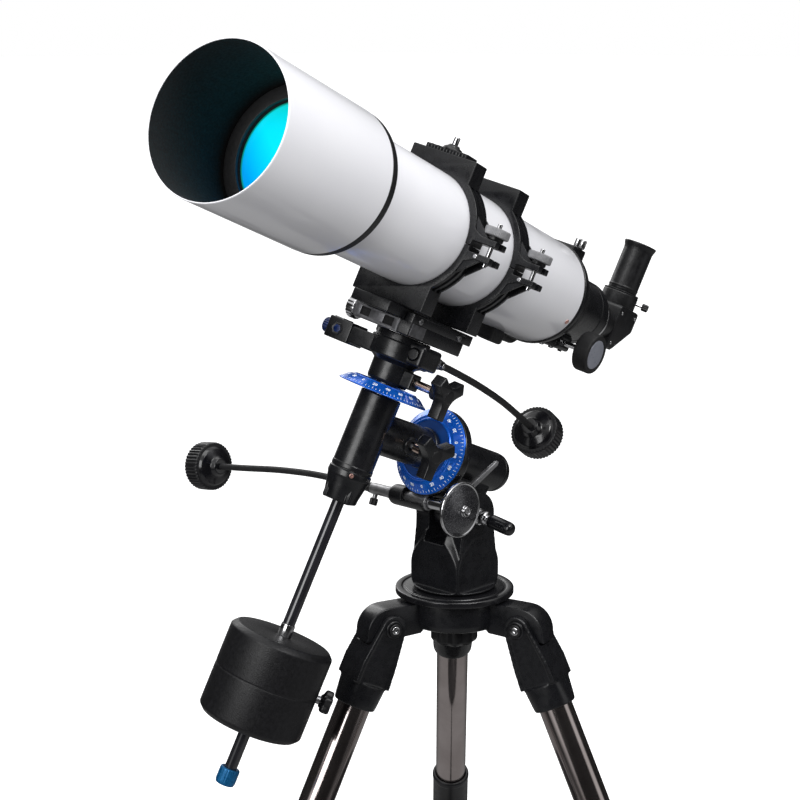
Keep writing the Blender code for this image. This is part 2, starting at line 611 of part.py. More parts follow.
def focuser_body(frame):
    """Rear cell, cone and draw-tube housing, with the pinion block below and the finder shoe above."""
    rear = TUBE_REAR - GAP
    shape = turned([(0.0530, rear), (0.0555, rear), (0.0560, rear - 0.004), (0.0545, rear - 0.012),
                    (0.0380, -0.2600), (0.0350, -0.2640), (0.0350, -0.3180), (0.0330, -0.3240),
                    (DRAW_R + GAP, -0.3240), (DRAW_R + GAP, -0.2620), (0.0510, -0.2200)], 24, NORTH, ring=True)
    along, high = PINION
    joined(shape,
           block((-0.0200, along - 0.0160, high - 0.0080), (0.0200, along + 0.0160, -0.0300), 0.002),
           block((-0.0150, -0.2520, 0.0360), (0.0150, -0.2220, 0.0580), 0.002))
    without(shape,
            rod(0.0034, -0.0400, 0.0400, 12, along_x(0, along, high)),
            block((-0.0095, -0.2600, 0.0540), (0.0095, -0.2260, 0.0700)))
    return name_part(shape, "focuser_body", frame, "plastic_black")


def draw_tube(frame):
    """The sliding tube with its flange and eyepiece socket."""
    shape = turned([(0.0240, -0.2050), (DRAW_R, -0.2050), (DRAW_R, -0.3270), (0.0300, -0.3270),
                    (0.0300, -0.3360), (0.0290, -0.3370), (0.0162, -0.3370), (0.0162, -0.3200),
                    (0.0240, -0.3150)], 24, NORTH, ring=True)
    return name_part(shape, "draw_tube", frame, "nickel")


def focus_wheels(frame):
    """The pinion axle with a big wheel at each end. Turns about X."""
    half = [(0, 0.0600), (0.0200, 0.0600), (0.0215, 0.0585), (0.0215, 0.0455), (0.0200, 0.0440),
            (0.0030, 0.0440)]
    other = [(radius, -height) for radius, height in reversed(half)]
    shape = turned(half + other, 24, EAST)
    return name_part(shape, "focus_wheels", frame, "plastic_black")


def diagonal(frame):
    """The star diagonal: nose, collar, mirror box and eyepiece socket with its thumbscrew."""
    at = DIAGONAL_AT
    shape = rod(0.0158, -0.3750, -0.3040, 20, NORTH)
    box = [(at + 0.0300, -0.0230), (at + 0.0150, -0.0230), (at - 0.0185, 0.0040), (at - 0.0185, 0.0270),
           (at + 0.0300, 0.0270)]
    upright = Matrix.Translation((0, at, 0))
    screw = along_y(0, at, 0.0360)
    joined(shape,
           turned([(0, -0.3374), (0.0240, -0.3374), (0.0240, -0.3560), (0.0205, -0.3740), (0, -0.3740)],
                  20, NORTH),
           slab(box, -0.0222, 0.0222),
           rod(0.0205, 0.0240, 0.0440, 24, upright),
           rod(0.0022, -0.0330, -0.0195, 10, screw),
           rod(0.0042, -0.0390, -0.0310, 12, screw))
    without(shape,
            rod(0.0125, at - 0.0020, -0.3000, 16, NORTH),
            rod(0.0163, 0.0160, 0.0500, 24, upright),
            rod(0.0135, -0.0030, 0.0200, 16, upright))
    return name_part(shape, "diagonal", frame, "plastic_black")


def eyepiece_tube(frame):
    """The long tube in the diagonal, with a flared mouth."""
    shape = turned([(0.0140, 0.0200), (0.0140, 0.0980), (0.0170, 0.1010), (0.0188, 0.1010), (0.0188, 0.0990),
                    (0.0168, 0.0930), (0.0168, 0.0445), (0.0159, 0.0445), (0.0159, 0.0200)], 24,
                   Matrix.Translation((0, DIAGONAL_AT, 0)), ring=True)
    return name_part(shape, "eyepiece_tube", frame, "plastic_black")


def dovetail_bar(frame):
    shape = block((-0.0213, -0.0850, -0.0833), (0.0213, 0.0800, -0.0729), 0.001)
    return name_part(shape, "dovetail_bar", frame, "cast_black")


def half_ring(sign):
    """Half of a tube ring about +Y with its pad and clamp ear; sign is 1 above the tube and -1 below."""
    inner = TUBE_R + 0.0005
    pad_x = 0.0360 if sign > 0 else 0.0400
    pad_z = 0.0725
    pad_foot = math.degrees(math.acos(pad_x / RING_R))
    outline = [*arc((0, 0), inner, 0.5, 179.5, 20), (-0.0615, GAP), (-0.0615, 0.0050), (-0.0860, 0.0050),
               (-0.0860, 0.0110), *arc((0, 0), RING_R, 170, 180 - pad_foot, 6),
               (-pad_x, pad_z), (pad_x, pad_z), *arc((0, 0), RING_R, pad_foot, 0.5, 7)]
    outline = [(x, sign * z) for x, z in outline]
    half = RING_WIDTH / 2
    return slab(outline, -half, half, Matrix.Rotation(math.radians(-90), 4, "Z"))


def knuckle(sign, low, high):
    """A stretch of hinge barrel and the web that ties it to its half ring."""
    web = sorted((sign * 0.0006, sign * 0.0040))
    shape = rod(0.0048, low, high, 10, along_y(RING_HINGE_X))
    return joined(shape, block((0.0590, low + 0.0002, web[0]), (RING_HINGE_X, high - 0.0002, web[1])))


def bolt_slot(sign):
    """The open slot in a clamp ear that the bolt swings into."""
    ear = sorted((sign * 0.0020, sign * 0.0200))
    return block((CLAMP_BOLT_X - 0.0150, -0.0030, ear[0]), (CLAMP_BOLT_X + 0.0030, 0.0030, ear[1]))


def tube_ring(side, lower_frame, upper_frame):
    """A hinged ring: the lower half under the tube, the upper half on its hinge."""
    third = RING_WIDTH / 6
    lower = half_ring(-1)
    joined(lower, knuckle(-1, -3 * third, -third - GAP), knuckle(-1, third + GAP, 3 * third))
    without(lower, bolt_slot(-1))
    lower.data.transform(Matrix.Translation((0, RING_MIDDLES[side], 0)))
    name_part(lower, f"ring_{side}_lower", lower_frame, "cast_black")

    upper = joined(half_ring(1), knuckle(1, -third, third))
    without(upper, bolt_slot(1))
    if side == "front":
        joined(upper,
               block((-0.0230, -0.0090, 0.0720), (0.0230, 0.0090, 0.0765), 0.001),
               turned([(0, 0.0900), (0.0030, 0.0900), (0.0030, 0.0820), (0.0090, 0.0790), (0.0100, 0.0760),
                       (0, 0.0760)], 12))
    upper.data.transform(Matrix.Translation((-RING_HINGE_X, 0, 0)))
    name_part(upper, f"ring_{side}_upper", upper_frame, "cast_black")


def ring_bolt(side, frame):
    """The swing bolt through both ears, with its round grey nut on top. Turns about Z."""
    shape = turned([(0, 0.0240), (0.0025, 0.0240), (0.0025, 0.0190), (0.0115, 0.0190), (0.0120, 0.0180),
                    (0.0120, 0.0125), (0.0110, 0.0114), (0.0022, 0.0114), (0.0022, -0.0140),
                    (0, -0.0145)], 14)
    return name_part(shape, f"ring_bolt_{side}", frame, "nickel")


# ---------------------------------------------------------------- assembly
def build_tripod(tripod):
    tripod_hub(tripod)
    mount_knob(tripod)
    accessory_tray(tripod)
    for leg, azimuth in LEG_AZIMUTHS.items():
        turn = math.radians(azimuth)
        pivot = (LEG_PIVOT_RADIUS * math.cos(turn), LEG_PIVOT_RADIUS * math.sin(turn), -LEG_PIVOT_DROP)
        hinge = axis_frame(f"leg_hinge_{leg}", tripod, pivot, (0, -LEG_SPLAY, turn))
        leg_socket(leg, hinge)
        leg_tube(leg, hinge)
        brace_collar(leg, hinge)
        leg_clamp(leg, hinge)
        lower_leg(leg, hinge)
        arm = axis_frame(f"brace_hinge_{leg}", hinge, (-BRACE_HINGE_IN, 0, -BRACE_AT),
                         (0, LEG_SPLAY + BRACE_RISE, 0))
        brace_arm(leg, arm)


def build_mount(azimuth):
    mount_base(azimuth)
    latitude = axis_frame("latitude_axis", azimuth, (0, 0, PIVOT_HEIGHT), (LATITUDE, 0, 0))
    latitude_clamp(axis_frame("latitude_clamp_axis", azimuth, (0, 0, PIVOT_HEIGHT)))
    latitude_lever(axis_frame("latitude_lever_axis", latitude, (0, *LEVER_PIN)))
    ra_housing(latitude)
    setting_circle("ra_circle", latitude, along_y(0, 0.0583, RA_ABOVE_PIVOT), True)
    worm = axis_frame("ra_worm_axis", latitude, (0, RA_WORM_AHEAD, 0))
    ra_worm(worm)
    control(latitude, "ra", RA_CABLE_ROUTE)

    ra_axis = axis_frame("ra_axis", latitude, (0, DEC_AHEAD_OF_PIVOT, RA_ABOVE_PIVOT), (0, HOUR_ANGLE, 0))
    dec_housing(ra_axis)
    lock_knob("ra_lock_knob", ra_axis, (-0.0135, -0.0420, 0), 0.045)
    setting_circle("dec_circle", ra_axis, Matrix.Translation((0, 0, 0.0365)), True)
    weight_bar(ra_axis)
    counterweight(ra_axis)
    weight_screw(ra_axis)
    bar_cap(ra_axis)

    dec_axis = axis_frame("dec_axis", ra_axis, (0, 0, 0), (0, 0, DEC_ANGLE))
    dec_head(dec_axis)
    lock_knob("dec_lock_knob", dec_axis, (-0.0183, 0, 0.0570), 0.052)
    dec_worm(axis_frame("dec_worm_axis", dec_axis, (DEC_WORM[0], 0, DEC_WORM[1])))
    end_screw("dec_arm_screw", dec_axis, (0.0780, 0, 0.0775), 0.0075)
    saddle(dec_axis)
    end_screw("saddle_screw", dec_axis, (0.0580, 0, 0.1040), 0.0120)
    control(dec_axis, "dec", DEC_CABLE_ROUTE)
    return dec_axis


def control(frame, name, route):
    """A control cable and the hand knob on its far end."""
    cable(f"{name}_cable", frame, route, CABLE_R)
    heading = (Vector(route[-1]) - Vector(route[-2])).normalized()
    end = Vector(route[-1]) + heading * GAP
    knob = axis_frame(f"{name}_knob_axis", frame, end, heading.to_track_quat("Z", "Y").to_euler())
    control_knob(f"{name}_knob", knob)


def build_tube(tube):
    main_tube(tube)
    dew_shield(tube)
    objective_cell(tube)
    objective_lens(tube)
    focuser_body(tube)
    draw_tube(tube)
    focus_wheels(axis_frame("pinion_axis", tube, (0, *PINION)))
    diagonal(tube)
    eyepiece_tube(tube)
    dovetail_bar(tube)
    for side, along in RING_MIDDLES.items():
        hinge = axis_frame(f"ring_hinge_{side}", tube, (RING_HINGE_X, along, 0))
        tube_ring(side, tube, hinge)
        ring_bolt(side, axis_frame(f"ring_bolt_axis_{side}", tube, (CLAMP_BOLT_X, along, 0)))


def build():
    empty_scene()
    tripod = axis_frame("tripod_frame", None, (*ORIGIN_SHIFT, HUB_TOP))
    build_tripod(tripod)
    dec_axis = build_mount(axis_frame("azimuth_axis", tripod))
    build_tube(axis_frame("tube_frame", dec_axis, (0, 0, TUBE_ABOVE_RA)))
    bpy.context.view_layer.update()


build()
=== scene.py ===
"""Looks for the refractor telescope on its equatorial mount and tripod.

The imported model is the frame: the axes below come from its joints. Every visible piece is a fine mesh that
stands for a CAD node, rides on that node's body and has a node-built finish. The scene is in metres, +Z up;
the shapes and their places are written in millimetres.
"""

import json
import math

import bmesh
import bpy
from mathutils import Matrix, Vector


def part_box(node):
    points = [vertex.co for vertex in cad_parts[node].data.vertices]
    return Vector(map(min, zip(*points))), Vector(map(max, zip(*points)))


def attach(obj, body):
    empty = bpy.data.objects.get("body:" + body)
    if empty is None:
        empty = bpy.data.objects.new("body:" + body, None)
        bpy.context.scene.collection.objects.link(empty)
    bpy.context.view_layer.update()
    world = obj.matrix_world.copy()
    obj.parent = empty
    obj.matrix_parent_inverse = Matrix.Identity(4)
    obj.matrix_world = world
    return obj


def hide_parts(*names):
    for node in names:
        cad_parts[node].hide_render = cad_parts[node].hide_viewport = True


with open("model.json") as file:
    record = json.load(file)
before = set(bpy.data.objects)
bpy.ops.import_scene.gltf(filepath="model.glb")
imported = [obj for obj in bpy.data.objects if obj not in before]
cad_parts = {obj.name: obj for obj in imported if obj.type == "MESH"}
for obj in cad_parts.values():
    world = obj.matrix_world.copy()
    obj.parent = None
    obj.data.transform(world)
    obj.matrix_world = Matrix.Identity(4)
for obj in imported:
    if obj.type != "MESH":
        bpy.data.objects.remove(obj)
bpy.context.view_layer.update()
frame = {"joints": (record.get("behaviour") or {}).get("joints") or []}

MM = 0.001

NORTH = Matrix.Rotation(math.radians(-90), 4, "X")    # lays a shape turned about Z along +Y
SOUTH = Matrix.Rotation(math.radians(90), 4, "X")
EAST = Matrix.Rotation(math.radians(90), 4, "Y")      # lays a shape turned about Z along +X
WEST = Matrix.Rotation(math.radians(-90), 4, "Y")
DOWN = Matrix.Rotation(math.radians(180), 4, "X")


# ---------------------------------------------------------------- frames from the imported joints
JOINTS = {joint["name"]: joint for joint in frame["joints"]}


def axis_of(joint):
    return Vector(JOINTS[joint]["axis"]).normalized()


def place_of(joint):
    return Vector(JOINTS[joint]["pos_m"])


def axes(origin, y, z):
    """A frame with this Y axis, and Z as near as it can be to the one given."""
    x = y.cross(z).normalized()
    z = x.cross(y)
    rows = [(x[i], y[i], z[i], origin[i]) for i in range(3)]
    return Matrix([*rows, (0, 0, 0, 1)])


TRIPOD = Matrix.Translation(place_of("azimuth"))
LATITUDE = axes(place_of("latitude"), axis_of("ra"), axis_of("latitude").cross(axis_of("ra")))
PIVOT = Matrix.Translation(place_of("latitude"))
RA = axes(place_of("ra"), axis_of("ra"), axis_of("dec"))
DEC = axes(place_of("dec"), axis_of("dovetail_slide"), axis_of("dec"))
TUBE = axes(place_of("tube_roll"), axis_of("tube_roll"), axis_of("dec"))
LEGS = {leg: axes(place_of(f"leg_{leg}_fold"), axis_of(f"leg_{leg}_fold"), -axis_of(f"leg_{leg}_extend"))
        for leg in "abc"}


def at(x=0.0, y=0.0, z=0.0):
    return Matrix.Translation((x * MM, y * MM, z * MM))


def turn(degrees, axis):
    return Matrix.Rotation(math.radians(degrees), 4, axis)


def bearing(hinge):
    """The bearing of a leg's outward side, in degrees."""
    outward = hinge.to_3x3() @ Vector((1, 0, 0))
    return math.degrees(math.atan2(outward.y, outward.x))


def pointing(heading):
    """A rotation that takes +Z to a heading."""
    return Vector(heading).to_track_quat("Z", "Y").to_matrix().to_4x4()


# ---------------------------------------------------------------- node-built finishes
class Finish:
    """A Principled material under construction, with texture space in the piece's own metres."""

    def __init__(self, name, slot, colour, roughness, metallic=0.0, **sockets):
        self.slot = slot
        self.material = bpy.data.materials.new(name)
        self.material.use_nodes = True
        self.tree = self.material.node_tree
        self.shader = self.tree.nodes["Principled BSDF"]
        self.shader.inputs["Base Color"].default_value = (*colour, 1.0)
        self.shader.inputs["Roughness"].default_value = roughness
        self.shader.inputs["Metallic"].default_value = metallic
        for socket, value in sockets.items():
            self.shader.inputs[socket.replace("_", " ")].default_value = value
        self.space = self.node("ShaderNodeTexCoord").outputs["Object"]
        self.normal = None

    def node(self, kind, **settings):
        made = self.tree.nodes.new(kind)
        for name, value in settings.items():
            if name in made.inputs:
                made.inputs[name].default_value = value
            else:
                setattr(made, name, value)
        return made

    def link(self, source, target):
        self.tree.links.new(source, target)

    def noise(self, size, detail=3.0, stretch=None):
        """Noise whose blotches are about this many metres across."""
        texture = self.node("ShaderNodeTexNoise", Scale=1.0 / size, Detail=detail)
        source = self.space
        if stretch:
            scaled = self.node("ShaderNodeMapping")
            scaled.inputs["Scale"].default_value = stretch
            self.link(source, scaled.inputs["Vector"])
            source = scaled.outputs["Vector"]
        self.link(source, texture.inputs["Vector"])
        return texture.outputs["Fac"]

    def spread(self, source, low, high, start=0.3, end=0.7):
        """A value stretched from [start, end] to [low, high]."""
        mapped = self.node("ShaderNodeMapRange")
        for socket, value in zip(("From Min", "From Max", "To Min", "To Max"), (start, end, low, high)):
            mapped.inputs[socket].default_value = value
        self.link(source, mapped.inputs["Value"])
        return mapped.outputs["Result"]

    def mottled(self, other, size, start=0.35, end=0.65, source=None):
        """Vary the base colour toward another one."""
        base = self.shader.inputs["Base Color"]
        mix = self.node("ShaderNodeMix", data_type="RGBA")
        if base.is_linked:
            self.link(base.links[0].from_socket, mix.inputs[6])
        else:
            mix.inputs[6].default_value = base.default_value
        mix.inputs[7].default_value = (*other, 1.0)
        self.link(self.spread(source or self.noise(size), 0.0, 1.0, start, end), mix.inputs[0])
        self.link(mix.outputs[2], base)
        return self

    def rough(self, low, high, size, stretch=None):
        self.link(self.spread(self.noise(size, 4.0, stretch), low, high), self.shader.inputs["Roughness"])
        return self

    def bump(self, height, depth, strength=1.0):
        bump = self.node("ShaderNodeBump", Strength=strength, Distance=depth)
        self.link(height, bump.inputs["Height"])
        if self.normal:
            self.link(self.normal, bump.inputs["Normal"])
        self.normal = bump.outputs["Normal"]
        self.link(self.normal, self.shader.inputs["Normal"])
        return self

    def grained(self, size, depth, strength=0.5, stretch=None):
        return self.bump(self.noise(size, 2.0, stretch), depth, strength)

    def math(self, operation, first, second=None):
        step = self.node("ShaderNodeMath", operation=operation)
        for socket, value in zip(step.inputs, (first, second)):
            if value is None:
                continue
            if isinstance(value, (int, float)):
                socket.default_value = value
            else:
                self.link(value, socket)
        return step.outputs[0]

    def turned_marks(self, pitch, depth):
        """Fine lathe rings about the piece's own Z."""
        parts = self.node("ShaderNodeSeparateXYZ")
        self.link(self.space, parts.inputs[0])
        x, y, z = parts.outputs
        radius = self.math("SQRT", self.math("ADD", self.math("MULTIPLY", x, x), self.math("MULTIPLY", y, y)))
        run = self.math("ADD", radius, z)
        wave = self.math("SINE", self.math("MULTIPLY", run, 2 * math.pi / pitch))
        return self.bump(self.math("MULTIPLY", wave, self.noise(pitch * 8)), depth, 0.4)


CASTING = (Finish("satin black paint", "cast_black", (0.0040, 0.0042, 0.0052), 0.28, Specular_IOR_Level=0.5)
           .mottled((0.0068, 0.0070, 0.0085), 0.018).rough(0.22, 0.34, 0.006)
           .grained(0.0012, 0.00006, 0.25).grained(0.007, 0.0002, 0.10))
GLOSS_CAST = (Finish("polished black paint", "cast_black", (0.0045, 0.0045, 0.0054), 0.20, Coat_Weight=0.4,
                     Coat_Roughness=0.1)
              .mottled((0.0070, 0.0070, 0.0084), 0.02).rough(0.16, 0.28, 0.008).grained(0.0012, 0.0001, 0.3))
RIDGED = (Finish("moulded black plastic", "plastic_black", (0.0040, 0.0040, 0.0048), 0.36)
          .mottled((0.0070, 0.0070, 0.0084), 0.012).rough(0.28, 0.46, 0.004)
          .grained(0.0006, 0.00010, 0.45))
GLOSS = (Finish("glossy black plastic", "plastic_black", (0.0036, 0.0036, 0.0045), 0.16, Coat_Weight=0.35,
                Coat_Roughness=0.08)
         .mottled((0.0062, 0.0062, 0.0078), 0.02).rough(0.12, 0.24, 0.01).grained(0.002, 0.0001, 0.15))
ENAMEL = (Finish("gloss white enamel", "tube_white", (0.88, 0.88, 0.915), 0.24, Coat_Weight=0.3,
                 Coat_Roughness=0.14)
          .mottled((0.86, 0.86, 0.90), 0.06).rough(0.12, 0.22, 0.03).grained(0.0022, 0.00006, 0.25))
FLOCK = (Finish("flat black inside", "plastic_black", (0.0026, 0.0026, 0.0032), 0.85)
         .mottled((0.0042, 0.0042, 0.0050), 0.003).rough(0.75, 0.95, 0.002).grained(0.0005, 0.0002, 0.6))
FLOCK_EDGE = (Finish("black lens cell", "plastic_black", (0.0060, 0.0060, 0.0065), 0.45)
              .mottled((0.0100, 0.0100, 0.0110), 0.004).rough(0.38, 0.55, 0.003).grained(0.0006, 0.0001, 0.4))
BLUE = (Finish("blue anodised", "anodised_blue", (0.004, 0.095, 0.56), 0.22, 0.5, Coat_Weight=0.5,
               Coat_Roughness=0.08)
        .mottled((0.005, 0.14, 0.68), 0.012).rough(0.20, 0.32, 0.004).turned_marks(0.0006, 0.00004))
BLUE_MATT = (Finish("dark blue anodised", "anodised_blue", (0.002, 0.040, 0.20), 0.42, 0.3)
             .mottled((0.003, 0.055, 0.26), 0.012).rough(0.36, 0.50, 0.004).turned_marks(0.0007, 0.00005))
NAVY = (Finish("navy gloss", "anodised_blue", (0.002, 0.009, 0.050), 0.16, 0.3, Coat_Weight=0.6,
               Coat_Roughness=0.06)
        .mottled((0.004, 0.020, 0.110), 0.004).rough(0.10, 0.24, 0.003).turned_marks(0.0006, 0.00004))
STEEL = (Finish("polished steel tube", "steel", (0.50, 0.445, 0.435), 0.14, 1.0)
         .mottled((0.42, 0.37, 0.36), 0.03).rough(0.10, 0.20, 0.010, (1, 1, 0.05))
         .grained(0.004, 0.00003, 0.2, (1, 1, 0.04)))
CHROME = (Finish("chrome", "chrome", (0.72, 0.72, 0.73), 0.10, 1.0)
          .mottled((0.62, 0.62, 0.64), 0.010).rough(0.06, 0.16, 0.004).grained(0.003, 0.00004, 0.2))
STUD = (Finish("bright stud", "chrome", (0.86, 0.68, 0.58), 0.16, 1.0)
        .mottled((0.70, 0.50, 0.42), 0.006).rough(0.10, 0.24, 0.003).turned_marks(0.0008, 0.00005))
NICKEL = (Finish("dull nickel", "nickel", (0.36, 0.36, 0.37), 0.36, 0.9)
          .mottled((0.27, 0.27, 0.28), 0.004).rough(0.28, 0.46, 0.003).grained(0.0005, 0.00008, 0.35))
SATIN = (Finish("satin alloy", "nickel", (0.30, 0.30, 0.31), 0.42, 0.5)
         .mottled((0.24, 0.24, 0.25), 0.003).rough(0.36, 0.50, 0.002).grained(0.0005, 0.00008, 0.35))
BLACK_CHROME = (Finish("black chrome", "chrome", (0.020, 0.020, 0.024), 0.10, 0.2, Coat_Weight=0.8,
                       Coat_Roughness=0.06)
                .mottled((0.014, 0.014, 0.017), 0.02).rough(0.08, 0.16, 0.006, (1, 1, 0.1))
                .grained(0.003, 0.00003, 0.2))
WEIGHT_PAINT = (Finish("textured black paint", "cast_black", (0.0042, 0.0042, 0.0050), 0.40,
                       Specular_IOR_Level=0.32)
                .mottled((0.0070, 0.0070, 0.0082), 0.004).rough(0.36, 0.50, 0.002)
                .grained(0.0013, 0.0003, 0.6).grained(0.0005, 0.0001, 0.4))
EDGE_GREY = (Finish("worn grey casting", "cast_black", (0.130, 0.130, 0.138), 0.32, 0.6)
             .mottled((0.075, 0.075, 0.081), 0.006).rough(0.30, 0.46, 0.003).grained(0.0007, 0.00010, 0.5))
TEAL_CAP = (Finish("teal anodised", "anodised_blue", (0.004, 0.10, 0.26), 0.30, 0.5)
            .mottled((0.008, 0.13, 0.32), 0.006).rough(0.22, 0.38, 0.003).turned_marks(0.0007, 0.00004))
SPECKLED = (Finish("speckled dark dome", "chrome", (0.035, 0.035, 0.040), 0.20, 0.7, Coat_Weight=0.6,
                   Coat_Roughness=0.12)
            .mottled((0.17, 0.17, 0.18), 0.0009, 0.50, 0.68).rough(0.16, 0.34, 0.001)
            .grained(0.0008, 0.0002, 0.5))
RUBBER = (Finish("black rubber", "rubber", (0.0045, 0.0045, 0.0052), 0.55)
          .mottled((0.0080, 0.0080, 0.0090), 0.006).rough(0.52, 0.75, 0.003).grained(0.0007, 0.00015, 0.5))
DISC_GREY = (Finish("grey disc insert", "plastic_black", (0.21, 0.22, 0.26), 0.30, 0.2)
             .mottled((0.24, 0.25, 0.29), 0.01).rough(0.26, 0.40, 0.003).turned_marks(0.0007, 0.00003))
LINING = (Finish("ring felt", "rubber", (0.010, 0.010, 0.011), 0.95)
          .mottled((0.018, 0.018, 0.019), 0.001).rough(0.88, 1.0, 0.002).grained(0.0004, 0.0003, 0.7))
COPPER = (Finish("copper screw", "chrome", (0.72, 0.44, 0.38), 0.24, 0.9)
          .mottled((0.60, 0.34, 0.30), 0.002).rough(0.2, 0.4, 0.001).turned_marks(0.0005, 0.00004))
PRINT = (Finish("white scale print", "anodised_blue", (0.90, 0.95, 1.00), 0.45)
         .mottled((0.80, 0.88, 0.98), 0.003).rough(0.38, 0.55, 0.002).grained(0.0008, 0.00003, 0.2))


def glowing_lens_finish():
    """Coated glass over a dark tube, its colour a painted reflection that also glows by emission: green-blue,
    brighter and greener toward the rim.
    """
    glass = Finish("coated glass with painted reflection and glow", "lens_teal", (0.001, 0.56, 0.72), 0.04, 0.0, Coat_Weight=1.0,
            Coat_Roughness=0.02)
    parts = glass.node("ShaderNodeSeparateXYZ")
    glass.link(glass.space, parts.inputs[0])
    x, y, _ = parts.outputs
    radius = glass.math("SQRT", glass.math("ADD", glass.math("MULTIPLY", x, x), glass.math("MULTIPLY", y, y)))
    lean = glass.math("ADD", glass.math("MULTIPLY", x, 0.7), y)
    # Painted reflection of the coating: bluer toward one side, greener across from it, dark green at the very
    # rim.
    glass.mottled((0.000, 0.26, 0.66), 0.03, 0.010, 0.052, source=lean)
    glass.mottled((0.002, 0.46, 0.42), 0.03, 0.030, 0.080, source=glass.math("SUBTRACT", radius, lean))
    glass.mottled((0.004, 0.20, 0.14), 0.03, 0.0484, 0.0500, source=radius)
    glass.rough(0.03, 0.07, 0.02)
    # The painted reflection colour is also fed to the emission: a painted glow, as the lens is no lamp.
    base = glass.shader.inputs["Base Color"].links[0].from_socket
    glass.link(base, glass.shader.inputs["Emission Color"])
    glass.shader.inputs["Emission Strength"].default_value = 0.9
    return glass


LENS_PAINTED_GLOW = glowing_lens_finish()


# ---------------------------------------------------------------- shaping tools
# Lengths are given in millimetres; meshes are made in metres.
SMALLEST_CUT = 1e-5              # metres; a tighter corner stays sharp
MOST_OF_EDGE = 0.45              # how much of an edge one rounded corner may take
WELD = 2e-6                      # metres
EASE = 0.4
EASE_FROM = math.radians(32)
BEVEL = {"segments": 3, "profile": 0.5, "affect": "EDGES", "clamp_overlap": True}


def metres(points):
    return [tuple(value * MM for value in point) for point in points]


def rounded(points, radius, closed=True, steps=3):
    """An outline with its corners rounded. A point may carry its own radius as a third number."""
    made = []
    count = len(points)
    for i, point in enumerate(points):
        corner = Vector(point[:2])
        reach = point[2] if len(point) > 2 else radius
        if reach <= 0 or (not closed and i in (0, count - 1)):
            made.append(tuple(corner))
            continue
        before = Vector(points[i - 1][:2]) - corner
        after = Vector(points[(i + 1) % count][:2]) - corner
        cut = min(reach, before.length * MOST_OF_EDGE, after.length * MOST_OF_EDGE)
        if cut < SMALLEST_CUT:
            made.append(tuple(corner))
            continue
        start = corner + before.normalized() * cut
        end = corner + after.normalized() * cut
        for j in range(steps + 1):
            t = j / steps
            made.append(tuple(start * (1 - t) ** 2 + corner * 2 * t * (1 - t) + end * t * t))
    return made


def shape_from(bm):
    bmesh.ops.remove_doubles(bm, verts=bm.verts, dist=WELD)
    bmesh.ops.recalc_face_normals(bm, faces=bm.faces)
    mesh = bpy.data.meshes.new("shape")
    bm.to_mesh(mesh)
    bm.free()
    shape = bpy.data.objects.new("shape", mesh)
    bpy.context.scene.collection.objects.link(shape)
    return shape


def turned(profile, steps=64, edge=0.6, flutes=None):
    """A (radius, height) profile spun about Z, its corners rounded. flutes: (count, depth, from radius).

    A profile that doesn't start on the axis closes on itself.
    """
    ring = profile[0][0] > 0
    line = rounded(metres(profile), edge * MM, closed=ring)
    bm = bmesh.new()
    verts = [bm.verts.new((max(radius, 0.0), 0, height)) for radius, height in line]
    edges = [bm.edges.new(pair) for pair in zip(verts, verts[1:])]
    if ring:
        edges.append(bm.edges.new((verts[-1], verts[0])))
    bmesh.ops.spin(bm, geom=verts + edges, axis=(0, 0, 1), cent=(0, 0, 0), angle=2 * math.pi, steps=steps,
            use_merge=True)
    if flutes:
        count, depth, start = flutes
        for vert in bm.verts:
            radius = math.hypot(vert.co.x, vert.co.y)
            if radius > start * MM:
                wave = 0.5 - 0.5 * math.cos(count * math.atan2(vert.co.y, vert.co.x))
                vert.co.xy *= 1 - depth * MM * wave / radius
    return shape_from(bm)


def rod(radius, low, high, steps=48, edge=0.4):
    return turned([(0, high), (radius, high), (radius, low), (0, low)], steps, edge)


def pipe(outer, inner, low, high, steps=96, edge=0.4):
    return turned([(inner, high), (outer, high), (outer, low), (inner, low)], steps, edge)


def slab(outline, low, high, edge=0.8, steps=3):
    """An outline in the YZ plane, extruded along X, with rounded rims."""
    bm = bmesh.new()
    face = bm.faces.new([bm.verts.new((low * MM, *point))
            for point in rounded(metres(outline), 0, steps=steps)])
    new = bmesh.ops.extrude_face_region(bm, geom=[face])["geom"]
    far = [item for item in new if isinstance(item, bmesh.types.BMVert)]
    bmesh.ops.translate(bm, vec=((high - low) * MM, 0, 0), verts=far)
    if edge:
        rims = [e for e in bm.edges if abs(e.verts[0].co.x - e.verts[1].co.x) < 1e-7]
        bmesh.ops.bevel(bm, geom=rims, offset=edge * MM, **BEVEL)
    return shape_from(bm)


def block(low, high, edge=0.8):
    bm = bmesh.new()
    bmesh.ops.create_cube(bm, size=1.0)
    low, high = (Vector(corner) for corner in metres((low, high)))
    scaled = Matrix.Translation((high + low) / 2) @ Matrix.Diagonal((*(high - low), 1))
    bmesh.ops.transform(bm, matrix=scaled, verts=bm.verts)
    bmesh.ops.bevel(bm, geom=bm.edges, offset=edge * MM, **BEVEL)
    return shape_from(bm)


def skinned(bm, rings):
    """A closed skin over a row of rings of vertices."""
    for one, two in zip(rings, rings[1:]):
        for i in range(len(one)):
            bm.faces.new((one[i - 1], one[i], two[i], two[i - 1]))
    bm.faces.new(rings[0])
    bm.faces.new(list(reversed(rings[-1])))
    return shape_from(bm)


